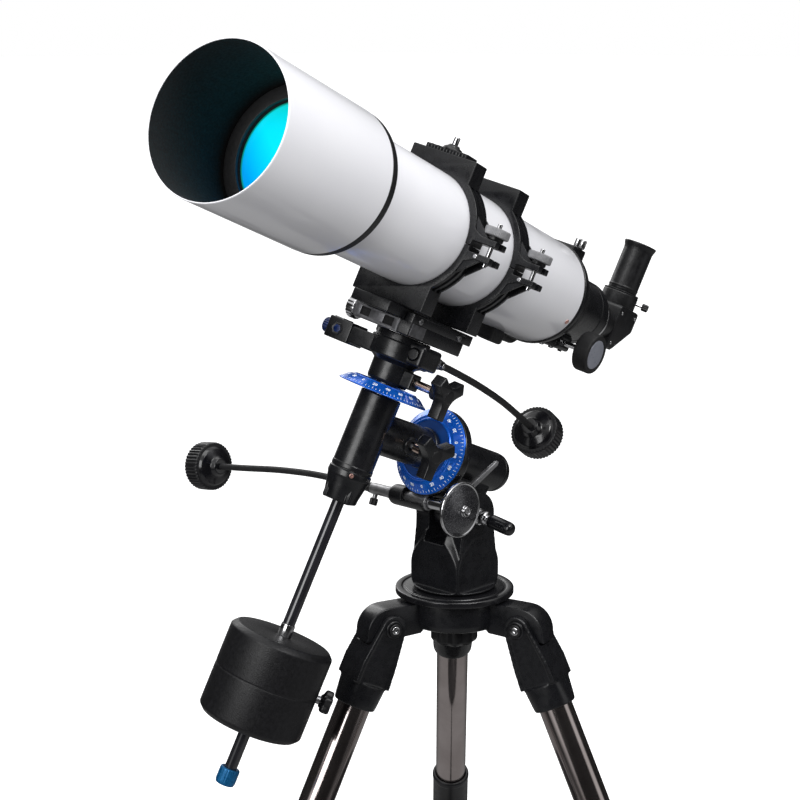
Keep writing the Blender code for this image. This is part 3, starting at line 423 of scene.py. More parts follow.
def loft(sections, points=48):
    """Rounded boxes along Z, joined: each is (z, half width x, half width y, middle y, squareness)."""
    bm = bmesh.new()
    rings = []
    for z, half_x, half_y, middle, power in sections:
        ring = []
        for i in range(points):
            angle = 2 * math.pi * i / points
            c, s = math.cos(angle), math.sin(angle)
            x = half_x * math.copysign(abs(c) ** (2 / power), c)
            y = half_y * math.copysign(abs(s) ** (2 / power), s)
            ring.append(bm.verts.new((x * MM, (middle + y) * MM, z * MM)))
        rings.append(ring)
    return skinned(bm, rings)


def arc(middle, radius, start, end, steps=12):
    """Points along an arc, in degrees."""
    angles = [math.radians(start + (end - start) * i / steps) for i in range(steps + 1)]
    return [(middle[0] + radius * math.cos(a), middle[1] + radius * math.sin(a)) for a in angles]


def moved(shape, place):
    shape.data.transform(place)
    return shape


def copied(shape):
    twin = bpy.data.objects.new("shape", shape.data.copy())
    bpy.context.scene.collection.objects.link(twin)
    return twin


def applied(shape):
    """Bake a shape's modifiers into its mesh."""
    bpy.context.view_layer.update()
    evaluated = shape.evaluated_get(bpy.context.evaluated_depsgraph_get())
    mesh = bpy.data.meshes.new_from_object(evaluated)
    shape.modifiers.clear()
    shape.data = mesh
    return shape


def combine(shape, others, operation):
    for other in others:
        step = shape.modifiers.new(operation, "BOOLEAN")
        step.operation = operation
        step.object = other
        step.solver = "EXACT"
    applied(shape)
    for other in others:
        bpy.data.objects.remove(other)
    return shape


def joined(shape, *others):
    return combine(shape, others, "UNION")


def without(shape, *others):
    tool = joined(others[0], *others[1:]) if len(others) > 1 else others[0]
    return combine(shape, [tool], "DIFFERENCE")


def cast(shape, grain, smooth):
    """Round every edge and blend every join, as a casting's are."""
    remesh = shape.modifiers.new("grain", "REMESH")
    remesh.mode = "VOXEL"
    remesh.voxel_size = grain * MM * 1.0
    soften = shape.modifiers.new("soften", "SMOOTH")
    soften.factor = 0.5
    soften.iterations = smooth
    return applied(shape)


def eased(shape):
    """Round the sharp edges left by cutting."""
    bevel = shape.modifiers.new("ease", "BEVEL")
    bevel.width = EASE * MM
    bevel.segments = 2
    bevel.limit_method = "ANGLE"
    bevel.angle_limit = EASE_FROM
    bevel.use_clamp_overlap = True
    return applied(shape)


def show(shape, name, place, finish, body, *nodes, sharp=40):
    """Put a finished shape in the scene: where it is, what it is made of, what it rides on and stands for."""
    shape.name = name
    shape.data.name = name
    shape.matrix_world = place
    shape.data.materials.clear()
    shape.data.materials.append(finish.material)
    shape.data.shade_smooth()
    if sharp:
        shape.data.set_sharp_from_angle(angle=math.radians(sharp))
    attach(shape, body)
    if nodes:
        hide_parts(*nodes)
    return shape


def lathe(name, place, finish, on, *profile_and_steps, sharp=40, **shaping):
    """Turn a shape and show it, on a body and for its nodes."""
    return show(turned(*profile_and_steps, **shaping), name, place, finish, *on, sharp=sharp)


def tube_along(route, radius, per_span=8, steps=20):
    """A round tube through a route's points, with rounded ends."""
    points = [Vector(point) for point in metres(route)]
    ends = [2 * points[0] - points[1], *points, 2 * points[-1] - points[-2]]
    line = []
    for i in range(1, len(ends) - 2):
        before, start, stop, after = ends[i - 1:i + 3]
        for j in range(per_span):
            t = j / per_span
            line.append(0.5 * (2 * start + (stop - before) * t
                               + (2 * before - 5 * start + 4 * stop - after) * t * t
                               + (3 * start - before - 3 * stop + after) * t ** 3))
    line.append(points[-1])
    bm = bmesh.new()
    rings = []
    side = None
    for i, point in enumerate(line):
        heading = (line[min(i + 1, len(line) - 1)] - line[max(i - 1, 0)]).normalized()
        side = (side or heading.orthogonal()).cross(heading).cross(heading).normalized() * -1
        up = heading.cross(side)
        rings.append([bm.verts.new(point + radius * MM * (math.cos(a) * side + math.sin(a) * up))
                for a in (2 * math.pi * k / steps for k in range(steps))])
    return skinned(bm, rings)


def socket_screw(radius, height):
    """A cap screw's head standing on z = 0, with its hexagon socket."""
    head = rod(radius, -1, height, 32, radius * 0.18)
    socket = turned([(0, height + 1), (radius * 0.5, height + 1), (radius * 0.5, height * 0.45),
            (0, height * 0.30)], 6, 0)
    return without(head, socket)


def star_knob(reach, waist, width, low, high):
    """A three-armed hand knob, turned about Z, its arms flaring to square ends."""
    outline = []
    for arm in (90, 210, 330):
        heading = math.radians(arm)
        out = Vector((math.cos(heading), math.sin(heading)))
        side = Vector((-out.y, out.x))
        dip = Vector((math.cos(heading + math.pi / 3), math.sin(heading + math.pi / 3)))
        outline += [(*(out * reach - side * width / 2), 1.6), (*(out * reach + side * width / 2), 1.6),
                (*(dip * waist), 14)]
    return moved(slab(outline, low, high, 1.4, steps=6), WEST)


# ---------------------------------------------------------------- stage, light and camera
WALL, GROUND, PANEL, CEILING = 0.02, 0.30, 0.68, 0.75       # what a glossy surface mirrors
PANELS = 3.0
PANEL_PHASE = 3.3                # turns the panels about Z, in radians
PANEL_EDGES = (0.55, 0.92)       # of the wave round the horizon that makes the panels
PANEL_FOOT = (-0.35, -0.05)      # these four are heights, from -1 below to 1 above
CEILING_EDGES = (0.45, 0.80)
GROUND_EDGES = (-0.62, -0.28)
HORIZON = (-0.10, 0.12)
SPREAD = (0.24, 1.05)            # soft light from below and from above the horizon
FLOOR_HALF = 80000               # millimetres
# name, offset from AIM, width and height in metres, power in watts
LAMPS = (("key", (-1.7, 0.2, 1.7), 1.1, 0.7, 24), ("fill", (-0.5, 2.1, 0.7), 1.2, 1.4, 25),
        ("top", (-0.2, 0.3, 2.4), 1.5, 1.5, 15), ("rim", (1.7, -0.6, 0.9), 1.0, 1.2, 9))
AIM = TUBE @ Vector((0, 0, -0.10))           # just under the tube
CAMERA_PLACE = at(-1170, 1271, 549)          # from the middle of the tripod's top face
CAMERA_HEADING = Vector((0.7005, -0.7137, 0))
CAMERA_PITCH = math.radians(11.7)            # downward
CAMERA_LENS = 79.9
CAMERA_SENSOR = 36.0


def studio_world():
    """White to look at and to light by, with darker walls and a few bright panels for the reflections."""
    world = bpy.data.worlds.new("studio")
    bpy.context.scene.world = world
    world.use_nodes = True
    tree = world.node_tree

    def value(operation, *inputs):
        step = tree.nodes.new("ShaderNodeMath")
        step.operation = operation
        for socket, given in zip(step.inputs, inputs):
            if isinstance(given, (int, float)):
                socket.default_value = given
            else:
                tree.links.new(given, socket)
        return step.outputs[0]

    def ramp(source, start, end, low, high):
        step = tree.nodes.new("ShaderNodeMapRange")
        step.interpolation_type = "SMOOTHSTEP"
        for socket, given in zip(("From Min", "From Max", "To Min", "To Max"), (start, end, low, high)):
            step.inputs[socket].default_value = given
        tree.links.new(source, step.inputs["Value"])
        return step.outputs["Result"]

    parts = tree.nodes.new("ShaderNodeSeparateXYZ")
    tree.links.new(tree.nodes.new("ShaderNodeTexCoord").outputs["Generated"], parts.inputs[0])
    x, y, z = parts.outputs
    around = value("ARCTAN2", y, x)
    wave = value("SINE", value("ADD", value("MULTIPLY", around, PANELS), PANEL_PHASE))
    panels = value("MULTIPLY", ramp(wave, *PANEL_EDGES, 0.0, 1.0), ramp(z, *PANEL_FOOT, 0.0, 1.0))
    ceiling = ramp(z, *CEILING_EDGES, 0.0, 1.0)
    ground = value("MULTIPLY", GROUND, ramp(z, *GROUND_EDGES, 1.0, 0.0))
    above = value("ADD", value("MULTIPLY", panels, PANEL), value("MULTIPLY", ceiling, CEILING))
    mirrored = value("ADD", value("ADD", WALL, ground), above)
    spread = ramp(z, *HORIZON, *SPREAD)
    path = tree.nodes.new("ShaderNodeLightPath")
    seen, glossy = path.outputs["Is Camera Ray"], path.outputs["Is Glossy Ray"]
    other = value("ADD", value("MULTIPLY", glossy, mirrored),
            value("MULTIPLY", value("SUBTRACT", 1.0, glossy), spread))
    strength = value("ADD", seen, value("MULTIPLY", value("SUBTRACT", 1.0, seen), other))
    background = tree.nodes["Background"]
    background.inputs["Color"].default_value = (1.0, 1.0, 1.0, 1.0)
    tree.links.new(strength, background.inputs["Strength"])


def stage():
    floor = block((-FLOOR_HALF, -FLOOR_HALF, -50), (FLOOR_HALF, FLOOR_HALF, 0), 1)
    floor.name = "floor"
    paper = Finish("pale floor", "rubber", (0.93, 0.93, 0.935), 0.9, Emission_Strength=0.35)
    paper.mottled((0.92, 0.92, 0.925), 0.4)
    paper.rough(0.85, 0.95, 0.1)
    floor.data.materials.append(paper.material)
    floor.visible_diffuse = False
    floor.visible_glossy = False
    bpy.context.scene.view_settings.view_transform = "Standard"
    studio_world()

    for name, offset, width, height, power in LAMPS:
        lamp = bpy.data.lights.new(name, "AREA")
        lamp.shape = "RECTANGLE"
        lamp.size, lamp.size_y, lamp.energy = width, height, power
        holder = bpy.data.objects.new(name, lamp)
        bpy.context.scene.collection.objects.link(holder)
        holder.location = AIM + Vector(offset)
        holder.rotation_euler = Vector(offset).to_track_quat("Z", "Y").to_euler()


def camera():
    """Stands to the north-west of the mount, a little above the tripod's top, looking slightly down."""
    lens = bpy.data.cameras.new("camera")
    lens.lens, lens.sensor_width = CAMERA_LENS, CAMERA_SENSOR
    lens.clip_start, lens.clip_end = 0.05, 300
    eye = bpy.data.objects.new("camera", lens)
    bpy.context.scene.collection.objects.link(eye)
    ahead = CAMERA_HEADING.normalized() * math.cos(CAMERA_PITCH)
    look = ahead - Vector((0, 0, math.sin(CAMERA_PITCH)))
    eye.matrix_world = TRIPOD @ CAMERA_PLACE @ look.to_track_quat("-Z", "Y").to_matrix().to_4x4()
    bpy.context.scene.camera = eye


# ---------------------------------------------------------------- tripod
HUB_ARM_HALF = 13
BRACE_RISE = 22.0                # slope of a brace arm, in degrees, with the legs spread
BRACE_LENGTH = 176.7
LEG_PIVOT = (80, -29)            # outward and up from the middle of the tripod's top face
LEG_R = 17
FORK_SIDE = turn(-90, "Z")       # a slab's Y becomes the leg's outward X
WELLS = (13.5, 133.5, 253.5)     # bearings of the round wells in the tray


def tripod_head():
    disc = turned([(5.6, 0), (50, 0), (50.6, -0.9), (53, -0.9), (53.6, 0), (59, 0), (60, -1), (60, -5.8),
            (59.2, -6.6), (56, -7.2), (50, -7.5), (5.6, -7.5)], 128, 0.4)
    show(disc, "hub_disc", TRIPOD, GLOSS_CAST, "tripod", "tripod_hub")
    body = turned([(5.6, -7), (49.8, -7), (50, -30), (49, -34.5), (47, -36), (40, -36), (39, -34.5),
            (16, -34.5), (15, -36), (5.6, -36)], 96, 1)
    show(body, "hub_body", TRIPOD, CASTING, "tripod", "tripod_hub")
    arm = slab([(40, -8.5), (82, -8.5), *arc((82, -32.5), 24, 75, 0, 10), (107.5, -40), (98.5, -40),
            *arc(LEG_PIVOT, 12.5, -20, -90, 8), (46, -40), (40, -34)], -HUB_ARM_HALF, HUB_ARM_HALF, 2.2)
    for leg, hinge in LEGS.items():
        facing = TRIPOD @ turn(bearing(hinge) - 90, "Z")
        show(copied(arm), f"hub_arm_{leg}", facing, CASTING, "tripod", "tripod_hub")
        for side, lean in (("left", EAST), ("right", WEST)):
            place = facing @ at(0, *LEG_PIVOT) @ lean @ at(0, 0, 20.2)
            lathe(f"leg_washer_{leg}_{side}", place, RIDGED, ("tripod", "tripod_hub"),
                    [(3, 0), (6.6, 0), (6.6, 1.8), (5.8, 2.4), (3, 2.4)], 32, 0.3)
            show(socket_screw(4.2, 2.9), f"leg_bolt_{leg}_{side}", place, CHROME, "tripod", "tripod_hub")
    bpy.data.objects.remove(arm)
    knob = turned([(0, -59), (10, -60), (21.5, -59.2), (23.8, -56), (23.8, -44), (22.2, -40), (15, -38.5),
            (12.8, -38), (12.8, -36.4), (0, -36.4)], 128, 1.2, flutes=(8, 3, 17))
    show(knob, "fixing_knob", TRIPOD, RIDGED, "mount_knob", "mount_knob")
    show(rod(4.9, -37, 19.8, 32), "fixing_stud", TRIPOD, NICKEL, "mount_knob", "mount_knob")


def socket_casting():
    """The fork that swings on the hub's arm and runs down into the sleeve round the leg tube."""
    top = [*arc((0, 0), 13.7, 0, 180, 20), (-18.5, -36), (-20.3, -60), (20.3, -60), (20, -40)]
    shape = moved(slab(top, -20, 20, 0), FORK_SIDE)
    sleeve = loft([(-85, 20.7, 20.7, 0, 2.1), (-80, 21.2, 21.2, 0, 2.2), (-66, 21.2, 21, 0, 2.8),
            (-52, 20.6, 20.2, 0, 4.5), (-40, 19.6, 20, 0, 6.0)])
    joined(shape, sleeve)
    panel = [*arc((0, 0), 10.5, 0, 180, 16), (-14.8, -34), (-16.5, -60), (16.5, -60), (16.2, -40)]
    without(shape, moved(slab([*arc((0, 0), 29, -50, 230, 24)], -13.4, 13.4, 0), FORK_SIDE),
            moved(slab(panel, 18.8, 30, 0), FORK_SIDE), moved(slab(panel, -30, -18.8, 0), FORK_SIDE),
            rod(LEG_R + 0.4, -95, -47, 32))
    return cast(shape, 0.85, 5)


def legs():
    socket = socket_casting()
    for leg, hinge in LEGS.items():
        body = f"leg_{leg}"
        show(copied(socket), f"socket_{leg}", hinge, CASTING, body, f"leg_socket_{leg}", sharp=0)
        for side, lean in (("left", SOUTH), ("right", NORTH)):
            lathe(f"socket_boss_{leg}_{side}", hinge @ lean @ at(0, 0, 18.2), CASTING,
                    (body, f"leg_socket_{leg}"), [(4.5, 0), (9.2, 0), (9.2, 1.4), (8.2, 2.2), (6.8, 2.2),
                    (6.6, 1), (4.5, 1)], 48, 0.4)
        show(pipe(LEG_R, 15.2, -480, -48.5, 96), f"upper_tube_{leg}", hinge, STEEL, body, f"leg_tube_{leg}")
        collar_and_brace(leg, hinge)
        clamp_and_foot(leg, hinge)
    bpy.data.objects.remove(socket)


def collar_and_brace(leg, hinge):
    on = (f"leg_{leg}", f"brace_collar_{leg}")
    lathe(f"collar_{leg}", hinge, RIDGED, on, [(17.6, -369), (19.6, -369), (20.8, -367.5), (20.8, -342),
            (20.2, -341), (20.2, -293.5), (20.8, -292.5), (20.8, -288), (19.6, -286), (17.6, -286)], 96, 0.6)
    for side, y in (("left", -6.5), ("right", 6.5)):
        show(block((-33, y - 2, -361), (-18, y + 2, -349), 0.7), f"collar_lug_{leg}_{side}", hinge, RIDGED,
                *on)
    show(rod(1.4, -7.8, 7.8, 16), f"collar_pin_{leg}", hinge @ at(-27, 0, -355) @ SOUTH, NICKEL, *on)
    splay = math.degrees(math.acos(min(1, (hinge.to_3x3() @ Vector((0, 0, 1))).z)))
    arm = place_of(f"brace_{leg}_fold")
    facing = Matrix.Translation(arm) @ hinge.to_3x3().to_4x4() @ turn(splay + BRACE_RISE, "Y")
    ends = (*arc((0, 0), 5, 90, -90, 12), *arc((-BRACE_LENGTH, 0), 5, -90, -270, 12))
    bar = moved(slab(ends, -4.2, 4.2, 0.9), FORK_SIDE)
    slots = [moved(slab([*arc((-16, 0), 2.2, 90, -90, 8), *arc((-BRACE_LENGTH + 16, 0), 2.2, -90, -270, 8)],
            low, high, 0), FORK_SIDE) for low, high in ((3.2, 6), (-6, -3.2))]
    show(without(bar, *slots), f"brace_{leg}_bar", facing, CASTING, f"brace_{leg}", f"brace_arm_{leg}")


def clamp_and_foot(leg, hinge):
    on = (f"leg_{leg}", f"leg_clamp_{leg}")
    lathe(f"clamp_{leg}", hinge, RIDGED, on, [(17.6, -455), (20, -455), (21, -456.5), (21, -464),
            (20.2, -465.5), (20.2, -490), (21.5, -492), (21.5, -511), (19.8, -518), (14.9, -518),
            (14.9, -480.5), (17.6, -480.5)], 96, 0.8)
    screw = hinge @ at(0, 0, -500) @ EAST
    show(rod(5.8, 18, 24.5, 32, 0.8), f"clamp_boss_{leg}", screw, RIDGED, *on)
    show(rod(3.5, 23, 28, 24), f"clamp_stud_{leg}", screw, NICKEL, *on)
    wings = turned([(0, 27.2), (10.5, 27.2), (11, 28), (11, 34.2), (10, 35), (0, 35)], 64, 0.8,
            flutes=(2, 5, 4))
    show(wings, f"clamp_wing_{leg}", screw, RIDGED, *on)
    on = (f"lower_leg_{leg}", f"lower_leg_{leg}")
    show(rod(14.4, -770, -300, 64, 0.6), f"inner_tube_{leg}", hinge, STEEL, *on)
    lathe(f"foot_{leg}", hinge, RUBBER, on, [(0, -760), (15, -760), (16.5, -762.5), (16.5, -770),
            (15.8, -771), (16, -776), (17.2, -777), (17.4, -790), (16, -796.5), (12.8, -800), (0, -800)], 64,
            1)


def tray():
    pin = (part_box("accessory_tray")[1].z - TRIPOD.translation.z) / MM - 22
    plate = turned([(0, pin + 15.9), (81.5, pin + 15.9), (82.8, pin + 21.5), (83.6, pin + 22),
            (84.4, pin + 22), (85, pin + 21.2), (85, pin + 13.5), (84, pin + 12.8), (0, pin + 12.2)], 128,
            0.6)
    well = [(0, pin + 14.5), (16, pin + 14.5), (16.6, pin + 17), (0, pin + 17)]
    wells = [moved(turned(well, 48, 0.3), turn(angle, "Z") @ at(52)) for angle in WELLS]
    show(eased(without(plate, *wells)), "tray_plate", TRIPOD, RIDGED, "tray", "accessory_tray")
    boss = turned([(0, pin + 13), (46, pin + 13), (46, pin - 10.5), (44.5, pin - 12), (0, pin - 12)], 96, 0.6)
    slots = [moved(block((25, -6, pin - 20), (60, 6, pin + 12.4), 0.1), turn(bearing(hinge), "Z"))
            for hinge in LEGS.values()]
    show(eased(without(boss, *slots)), "tray_boss", TRIPOD, RIDGED, "tray", "accessory_tray")


# ---------------------------------------------------------------- mount head
RA_RISE = 48.8                   # polar axis above the latitude pivot
RA_WORM = (47.5, 0)              # worm axis ahead of and above the latitude pivot
DEC_WORM = (-26, 82)             # worm axis beside the declination axis and above the polar axis
BAR_R = 6
RA_ROUTE = [(73.3, 47.5, 0), (105, 47.5, 0), (160, 47, -1), (215, 45.5, -5.5), (270, 43, -12.5),
        (311, 41, -17.5)]
DEC_ROUTE = [(-26, -30.3, 82), (-26, -60, 81), (-27, -115, 77.5), (-29, -170, 71.5), (-30.5, -212, 64.5),
        (-32, -248, 57.5)]


def azimuth_base():
    """The bowl-footed column: flat on four sides, with a slot for the tongue between its cheeks."""
    top = 78
    foot = turned([(5.6, 0.3), (40, 0.3), (43.2, 4), (44.2, 11), (44.2, 27), (42.5, 35), (38, 45), (33, 54),
            (30, 62), (5.6, 62)], 96, 5)
    yoke = [(-30, 20), (30, 20), (26.2, 44, 10), (23.6, top - 14, 10),
            *arc((0, top), 23.8, -10, 190, 28), (-23.6, top - 14, 10), (-26.2, 44, 10)]
    joined(foot, slab(yoke, -32, 32, 0))
    without(foot, block((32.2, -80, 3.5), (60, 80, 120), 0.2), block((-60, -80, 3.5), (-32.2, 80, 120), 0.2),
            block((-80, 31.2, 3.5), (80, 60, 120), 0.2), block((-80, -60, 3.5), (80, -31.2, 120), 0.2))
    without(foot, block((-13.4, -60, 50), (13.4, 60, 120), 0.2), rod(10.1, -10, 24, 32))
    show(cast(foot, 0.9, 4), "azimuth_base", TRIPOD, CASTING, "azimuth", "mount_base", sharp=0)


def latitude_clamp():
    on = ("latitude_clamp", "latitude_clamp")
    bolt = PIVOT @ EAST
    lathe("latitude_nut", bolt, CHROME, on, [(0, 38), (7.8, 38), (8.5, 37.2), (8.5, 32.6), (0, 32.6)], 6, 0.3,
            sharp=25)
    show(rod(5, -33, 33, 32), "latitude_bolt", bolt, NICKEL, *on)
    lathe("clamp_hub", bolt, CHROME, on, [(0, -32.3), (8.4, -32.3), (8.6, -33), (8.6, -34.5), (6.6, -35.6),
            (7, -37.5), (7.4, -40), (7, -43), (5.6, -44.6), (0, -45)], 64, 0.8)
    lever = PIVOT @ at(-38, 0, 0) @ turn(-98.5, "Y")
    lathe("clamp_stem", lever, CHROME, on, [(0, 0), (4.4, 0), (4.4, 7), (5, 7.8), (5, 9), (4, 10), (4, 12),
            (0, 12)], 48, 0.5)
    lathe("clamp_grip", lever, GLOSS, on, [(0, 9.5), (5.8, 9.5), (6.6, 10.4), (7, 13), (7, 33), (6.4, 37),
            (4.5, 38.8), (0, 39.1)], 48, 1.2)


def latitude_lever():
    on = ("latitude_lever", "latitude_lever")
    pin = Matrix.Translation(place_of("latitude_lever_turn")) @ LATITUDE.to_3x3().to_4x4()
    lathe("lever_pin", pin @ WEST, NICKEL, on, [(0, 40), (3, 39.8), (3, 20), (5, 20), (5, 13.1), (2.8, 13.1),
            (2.8, 9), (0, 9)], 32, 0.4)
    blade = pin @ at(-38, 0, 0) @ turn(-40, "Y")
    show(loft([(-2, 3.2, 3.6, 0, 3.5), (4, 2.6, 3.4, 0, 3.5), (25, 2.2, 3, 0, 3.5), (35, 2, 2.7, 0, 3.0),
            (38, 1, 1.4, 0, 2.2)], 32), "lever_blade", blade, NICKEL, *on, sharp=50)


def polar_housing():
    on = ("latitude", "ra_housing")
    polar = LATITUDE @ at(0, 0, RA_RISE) @ NORTH
    lathe("polar_barrel", polar, CASTING, on, [(0, 45.5), (20.7, 45.5), (20.5, -36), (20, -37.2), (20, -38),
            (20.4, -38.5), (20, -42), (17, -47.5), (11, -50.5), (6, -51.8), (0, -52)], 96, 1.6)
    lathe("worm_wheel_case", polar, GLOSS_CAST, on, [(12.3, 58), (43, 58), (44.1, 57.2), (44.1, 50),
            (43.2, 47.8), (40, 45.5), (20.5, 44), (12.3, 44)], 128, 0.8)
    tongue = [*arc((0, 0), 19, 200, 340, 24), (33, 10, 4), (40, 36), (-30, 40)]
    case = moved(turned([(0, 42.8), (8, 42.8), (10, 41), (10.5, 38), (10.5, -2), (10, -5), (8, -6.8),
            (0, -6.8)], 48, 0.8), at(0, *RA_WORM) @ EAST)
    shape = joined(slab(tongue, -12.7, 12.7, 0), case, moved(rod(19.5, -30, 47, 64), at(0, 0, RA_RISE)
            @ NORTH))
    without(shape, moved(turned([(0, 60), (6.4, 60), (6.4, -60), (0, -60)], 32, 0), at(0, *RA_WORM) @ EAST),
            block((-5.8, RA_WORM[0] + 1.2, -4.8), (23.5, RA_WORM[0] + 20, 10), 0.4))
    show(rod(6.3, -6.4, 24, 64, 0.5), "worm_bush", LATITUDE @ at(0, *RA_WORM) @ EAST, NICKEL, *on)
    show(cast(shape, 0.8, 5), "polar_casting", LATITUDE, CASTING, *on, sharp=0)
    for name, x, lean in (("east", 42.9, EAST), ("west", -7, WEST)):
        lathe(f"worm_gland_{name}", LATITUDE @ at(x, *RA_WORM) @ lean, NICKEL, on,
                [(6.4, -3), (8.8, -3), (8.8, -0.2), (8, 0.4), (6.4, 0.4)], 48, 0.4)


SCALE_STEPS = 36
SCALE_SLOPE = math.atan2(66, 86)
TICK_RISE = 0.383                # height of a tick's middle on the slope, for each unit of its length
TICK = (44e-5, 16e-5)            # width and height of a tick, in metres
NUMERAL = (46e-4, 6e-5, 12e-5)   # size, extrusion and thickening of a numeral, in metres


def setting_circle(name, place, *on):
    """A coned blue ring with a bright inner step and a printed scale on its slope."""
    lathe(f"{name}_face", place, BLUE_MATT, on, [(12.9, 8), (12.9, 8.7), (29.4, 8.7), (29.4, 8)], 144, 0.1)
    ring = turned([(12.7, 8.4), (29, 8.4), (29.8, 9.6), (31.2, 9.6), (32, 8.4), (35, 8), (43.6, 1.4),
            (44, 0.8), (43.4, 0), (12.7, 0)], 144, 0.3)
    show(ring, name, place, BLUE, *on)
    marks = bmesh.new()
    for i in range(SCALE_STEPS * 2):
        length = 1.6 if i % 2 else 2.8
        bar = bmesh.ops.create_cube(marks, size=1.0)["verts"]
        place_mark = (turn(360 * i / (SCALE_STEPS * 2), "Z")
                @ at(42.8 - length / 2, 0, 2.1 + length * TICK_RISE) @ Matrix.Rotation(SCALE_SLOPE, 4, "Y")
                @ Matrix.Diagonal((length * MM, *TICK, 1)))
        bmesh.ops.transform(marks, matrix=place_mark, verts=bar)
    show(shape_from(marks), f"{name}_scale", place, PRINT, *on, sharp=0)
    numerals = []
    for i in range(0, SCALE_STEPS, 2):
        text = bpy.data.curves.new("numeral", "FONT")
        text.body = str(i * 10 % 100)
        text.size, text.extrude, text.offset = NUMERAL
        text.align_x = text.align_y = "CENTER"
        text.resolution_u = 2
        letter = bpy.data.objects.new("numeral", text)
        bpy.context.scene.collection.objects.link(letter)
        spot = (turn(360 * i / SCALE_STEPS, "Z") @ at(37.2, 0, 6.46) @ Matrix.Rotation(SCALE_SLOPE, 4, "Y")
                @ turn(90, "Z"))
        mesh = bpy.data.meshes.new_from_object(letter.evaluated_get(bpy.context.evaluated_depsgraph_get()))
        mesh.transform(spot)
        bpy.data.objects.remove(letter)
        numerals.append(mesh)
    bm = bmesh.new()
    for mesh in numerals:
        bm.from_mesh(mesh)
    show(shape_from(bm), f"{name}_numerals", place, PRINT, *on, sharp=0)


def polar_worm():
    on = ("ra_worm", "ra_worm")
    worm = LATITUDE @ at(0, *RA_WORM)
    east = worm @ EAST
    lathe("worm_sleeve", east, NICKEL, on, [(0, 73.5), (5, 73.5), (5.8, 72.8), (5.8, 50), (6, 49.5),
            (6, 43.4), (0, 43.4)], 48, 0.4)
    show(rod(4, -8, 44, 32), "worm_shaft", east, NICKEL, *on)
    lathe("worm_neck", east, CHROME, on, [(0, -30), (6, -30), (6.2, -7.4), (5, -7.4), (0, -7.4)], 48, 0.3)
    lathe("hand_disc", east, CHROME, on, [(0, -29), (9.8, -29), (10.8, -30), (10.8, -33), (9.8, -34),
            (12.2, -40.5), (18, -43.2), (25.8, -44.8), (27.4, -45.8), (27.8, -47.2), (27.4, -48.6),
            (26.2, -49.2), (25, -48.6), (0, -48)], 128, 0.6)
    lathe("hand_disc_face", east, SPECKLED, on, [(0, -47.8), (25.1, -47.8), (24.9, -48.8), (22.5, -50.2),
            (17, -52.2), (10, -53.6), (6, -54.1), (4.8, -54.1), (4.6, -53), (0, -53)], 128, 0.4)
    lathe("hand_disc_screw_ring", east, CHROME, on, [(3, -52.8), (6.4, -52.8), (6.4, -53.8), (5.2, -54.5),
            (5.2, -56.6), (4.6, -57.2), (3, -57)], 48, 0.3)
    lathe("hand_disc_screw", east, NICKEL, on, [(0, -52), (2.8, -52), (2.8, -56.1), (0, -56.4)], 6, 0.1,
            sharp=20)
    for i in range(2):
        dot = east @ turn(70 + 180 * i, "Z") @ at(8.5, 0, -53.6)
        lathe(f"hand_disc_rivet_{i}", dot, NICKEL, on, [(0, -0.3), (1.1, -0.3), (1.1, 0.6), (0, 0.6)], 24,
                0.2)
    show(rod(2.4, 5.5, 13, 24), "sleeve_screw_stem", worm @ at(67, 0, 0) @ DOWN, NICKEL, *on)
    lathe("sleeve_screw", worm @ at(67, 0, 0) @ DOWN, RIDGED, on, [(0, 9.5), (3.6, 9.5), (4.2, 10.2),
            (4.2, 16), (3.6, 16.8), (0, 16.8)], 64, 0.3, flutes=(16, 0.4, 3))


FLANGE_SCREW = 141               # bearing of the small screw in the housing's flange
BLOCK_TURN = 26.6                # turn of the ribbed block round the bar


def declination_housing():
    on = ("ra", "dec_housing")
    lathe("dec_barrel", RA, CASTING, on, [(10.2, 35), (19.2, 35), (20, 34.2), (20, -36.2), (20.4, -36.8),
            (20.4, -40.6), (19.8, -41), (19.8, -41.8), (21, -42.4), (21.2, -48), (20.4, -50), (19, -56),
            (16, -72), (10.2, -72)], 96, 0.6)
    lathe("polar_neck", RA @ NORTH, CASTING, on, [(0, 0), (19.4, 0), (20, -20), (20, -78), (20.6, -78.6),
            (20.6, -83.2), (19.8, -84), (12, -84), (12, -190), (0, -190)], 96, 0.6)
    foot = [(-13, -73, 2), (13, -73, 2), (14, -63, 2), (13.2, -57, 1), (-13.2, -57, 1), (-14, -63, 2)]
    block_place = RA @ turn(BLOCK_TURN, "Z")
    show(slab(foot, -13.5, 13.5, 1.8), "bar_block", block_place, CASTING, *on)
    for i in range(5):
        x = -9.6 + 4.8 * i
        for name, way in (("a", 0), ("b", 90)):
            show(block((x - 1.1, -14.6, -71.8), (x + 1.1, 14.6, -53), 0.9), f"bar_block_rib_{name}_{i}",
                    block_place @ turn(way, "Z"), CASTING, *on)
    lathe("neck_lock_boss", RA @ at(0, -42, 0) @ EAST, CASTING, on, [(4.4, -22.5), (7.8, -22.5), (8.4, -21.8),
            (8.4, -18), (4.4, -18)], 48, 0.5)
    show(socket_screw(2.2, 1.8), "flange_screw", RA @ turn(FLANGE_SCREW, "Z") @ at(20.8, 0, -45.2) @ EAST,
            COPPER, *on)


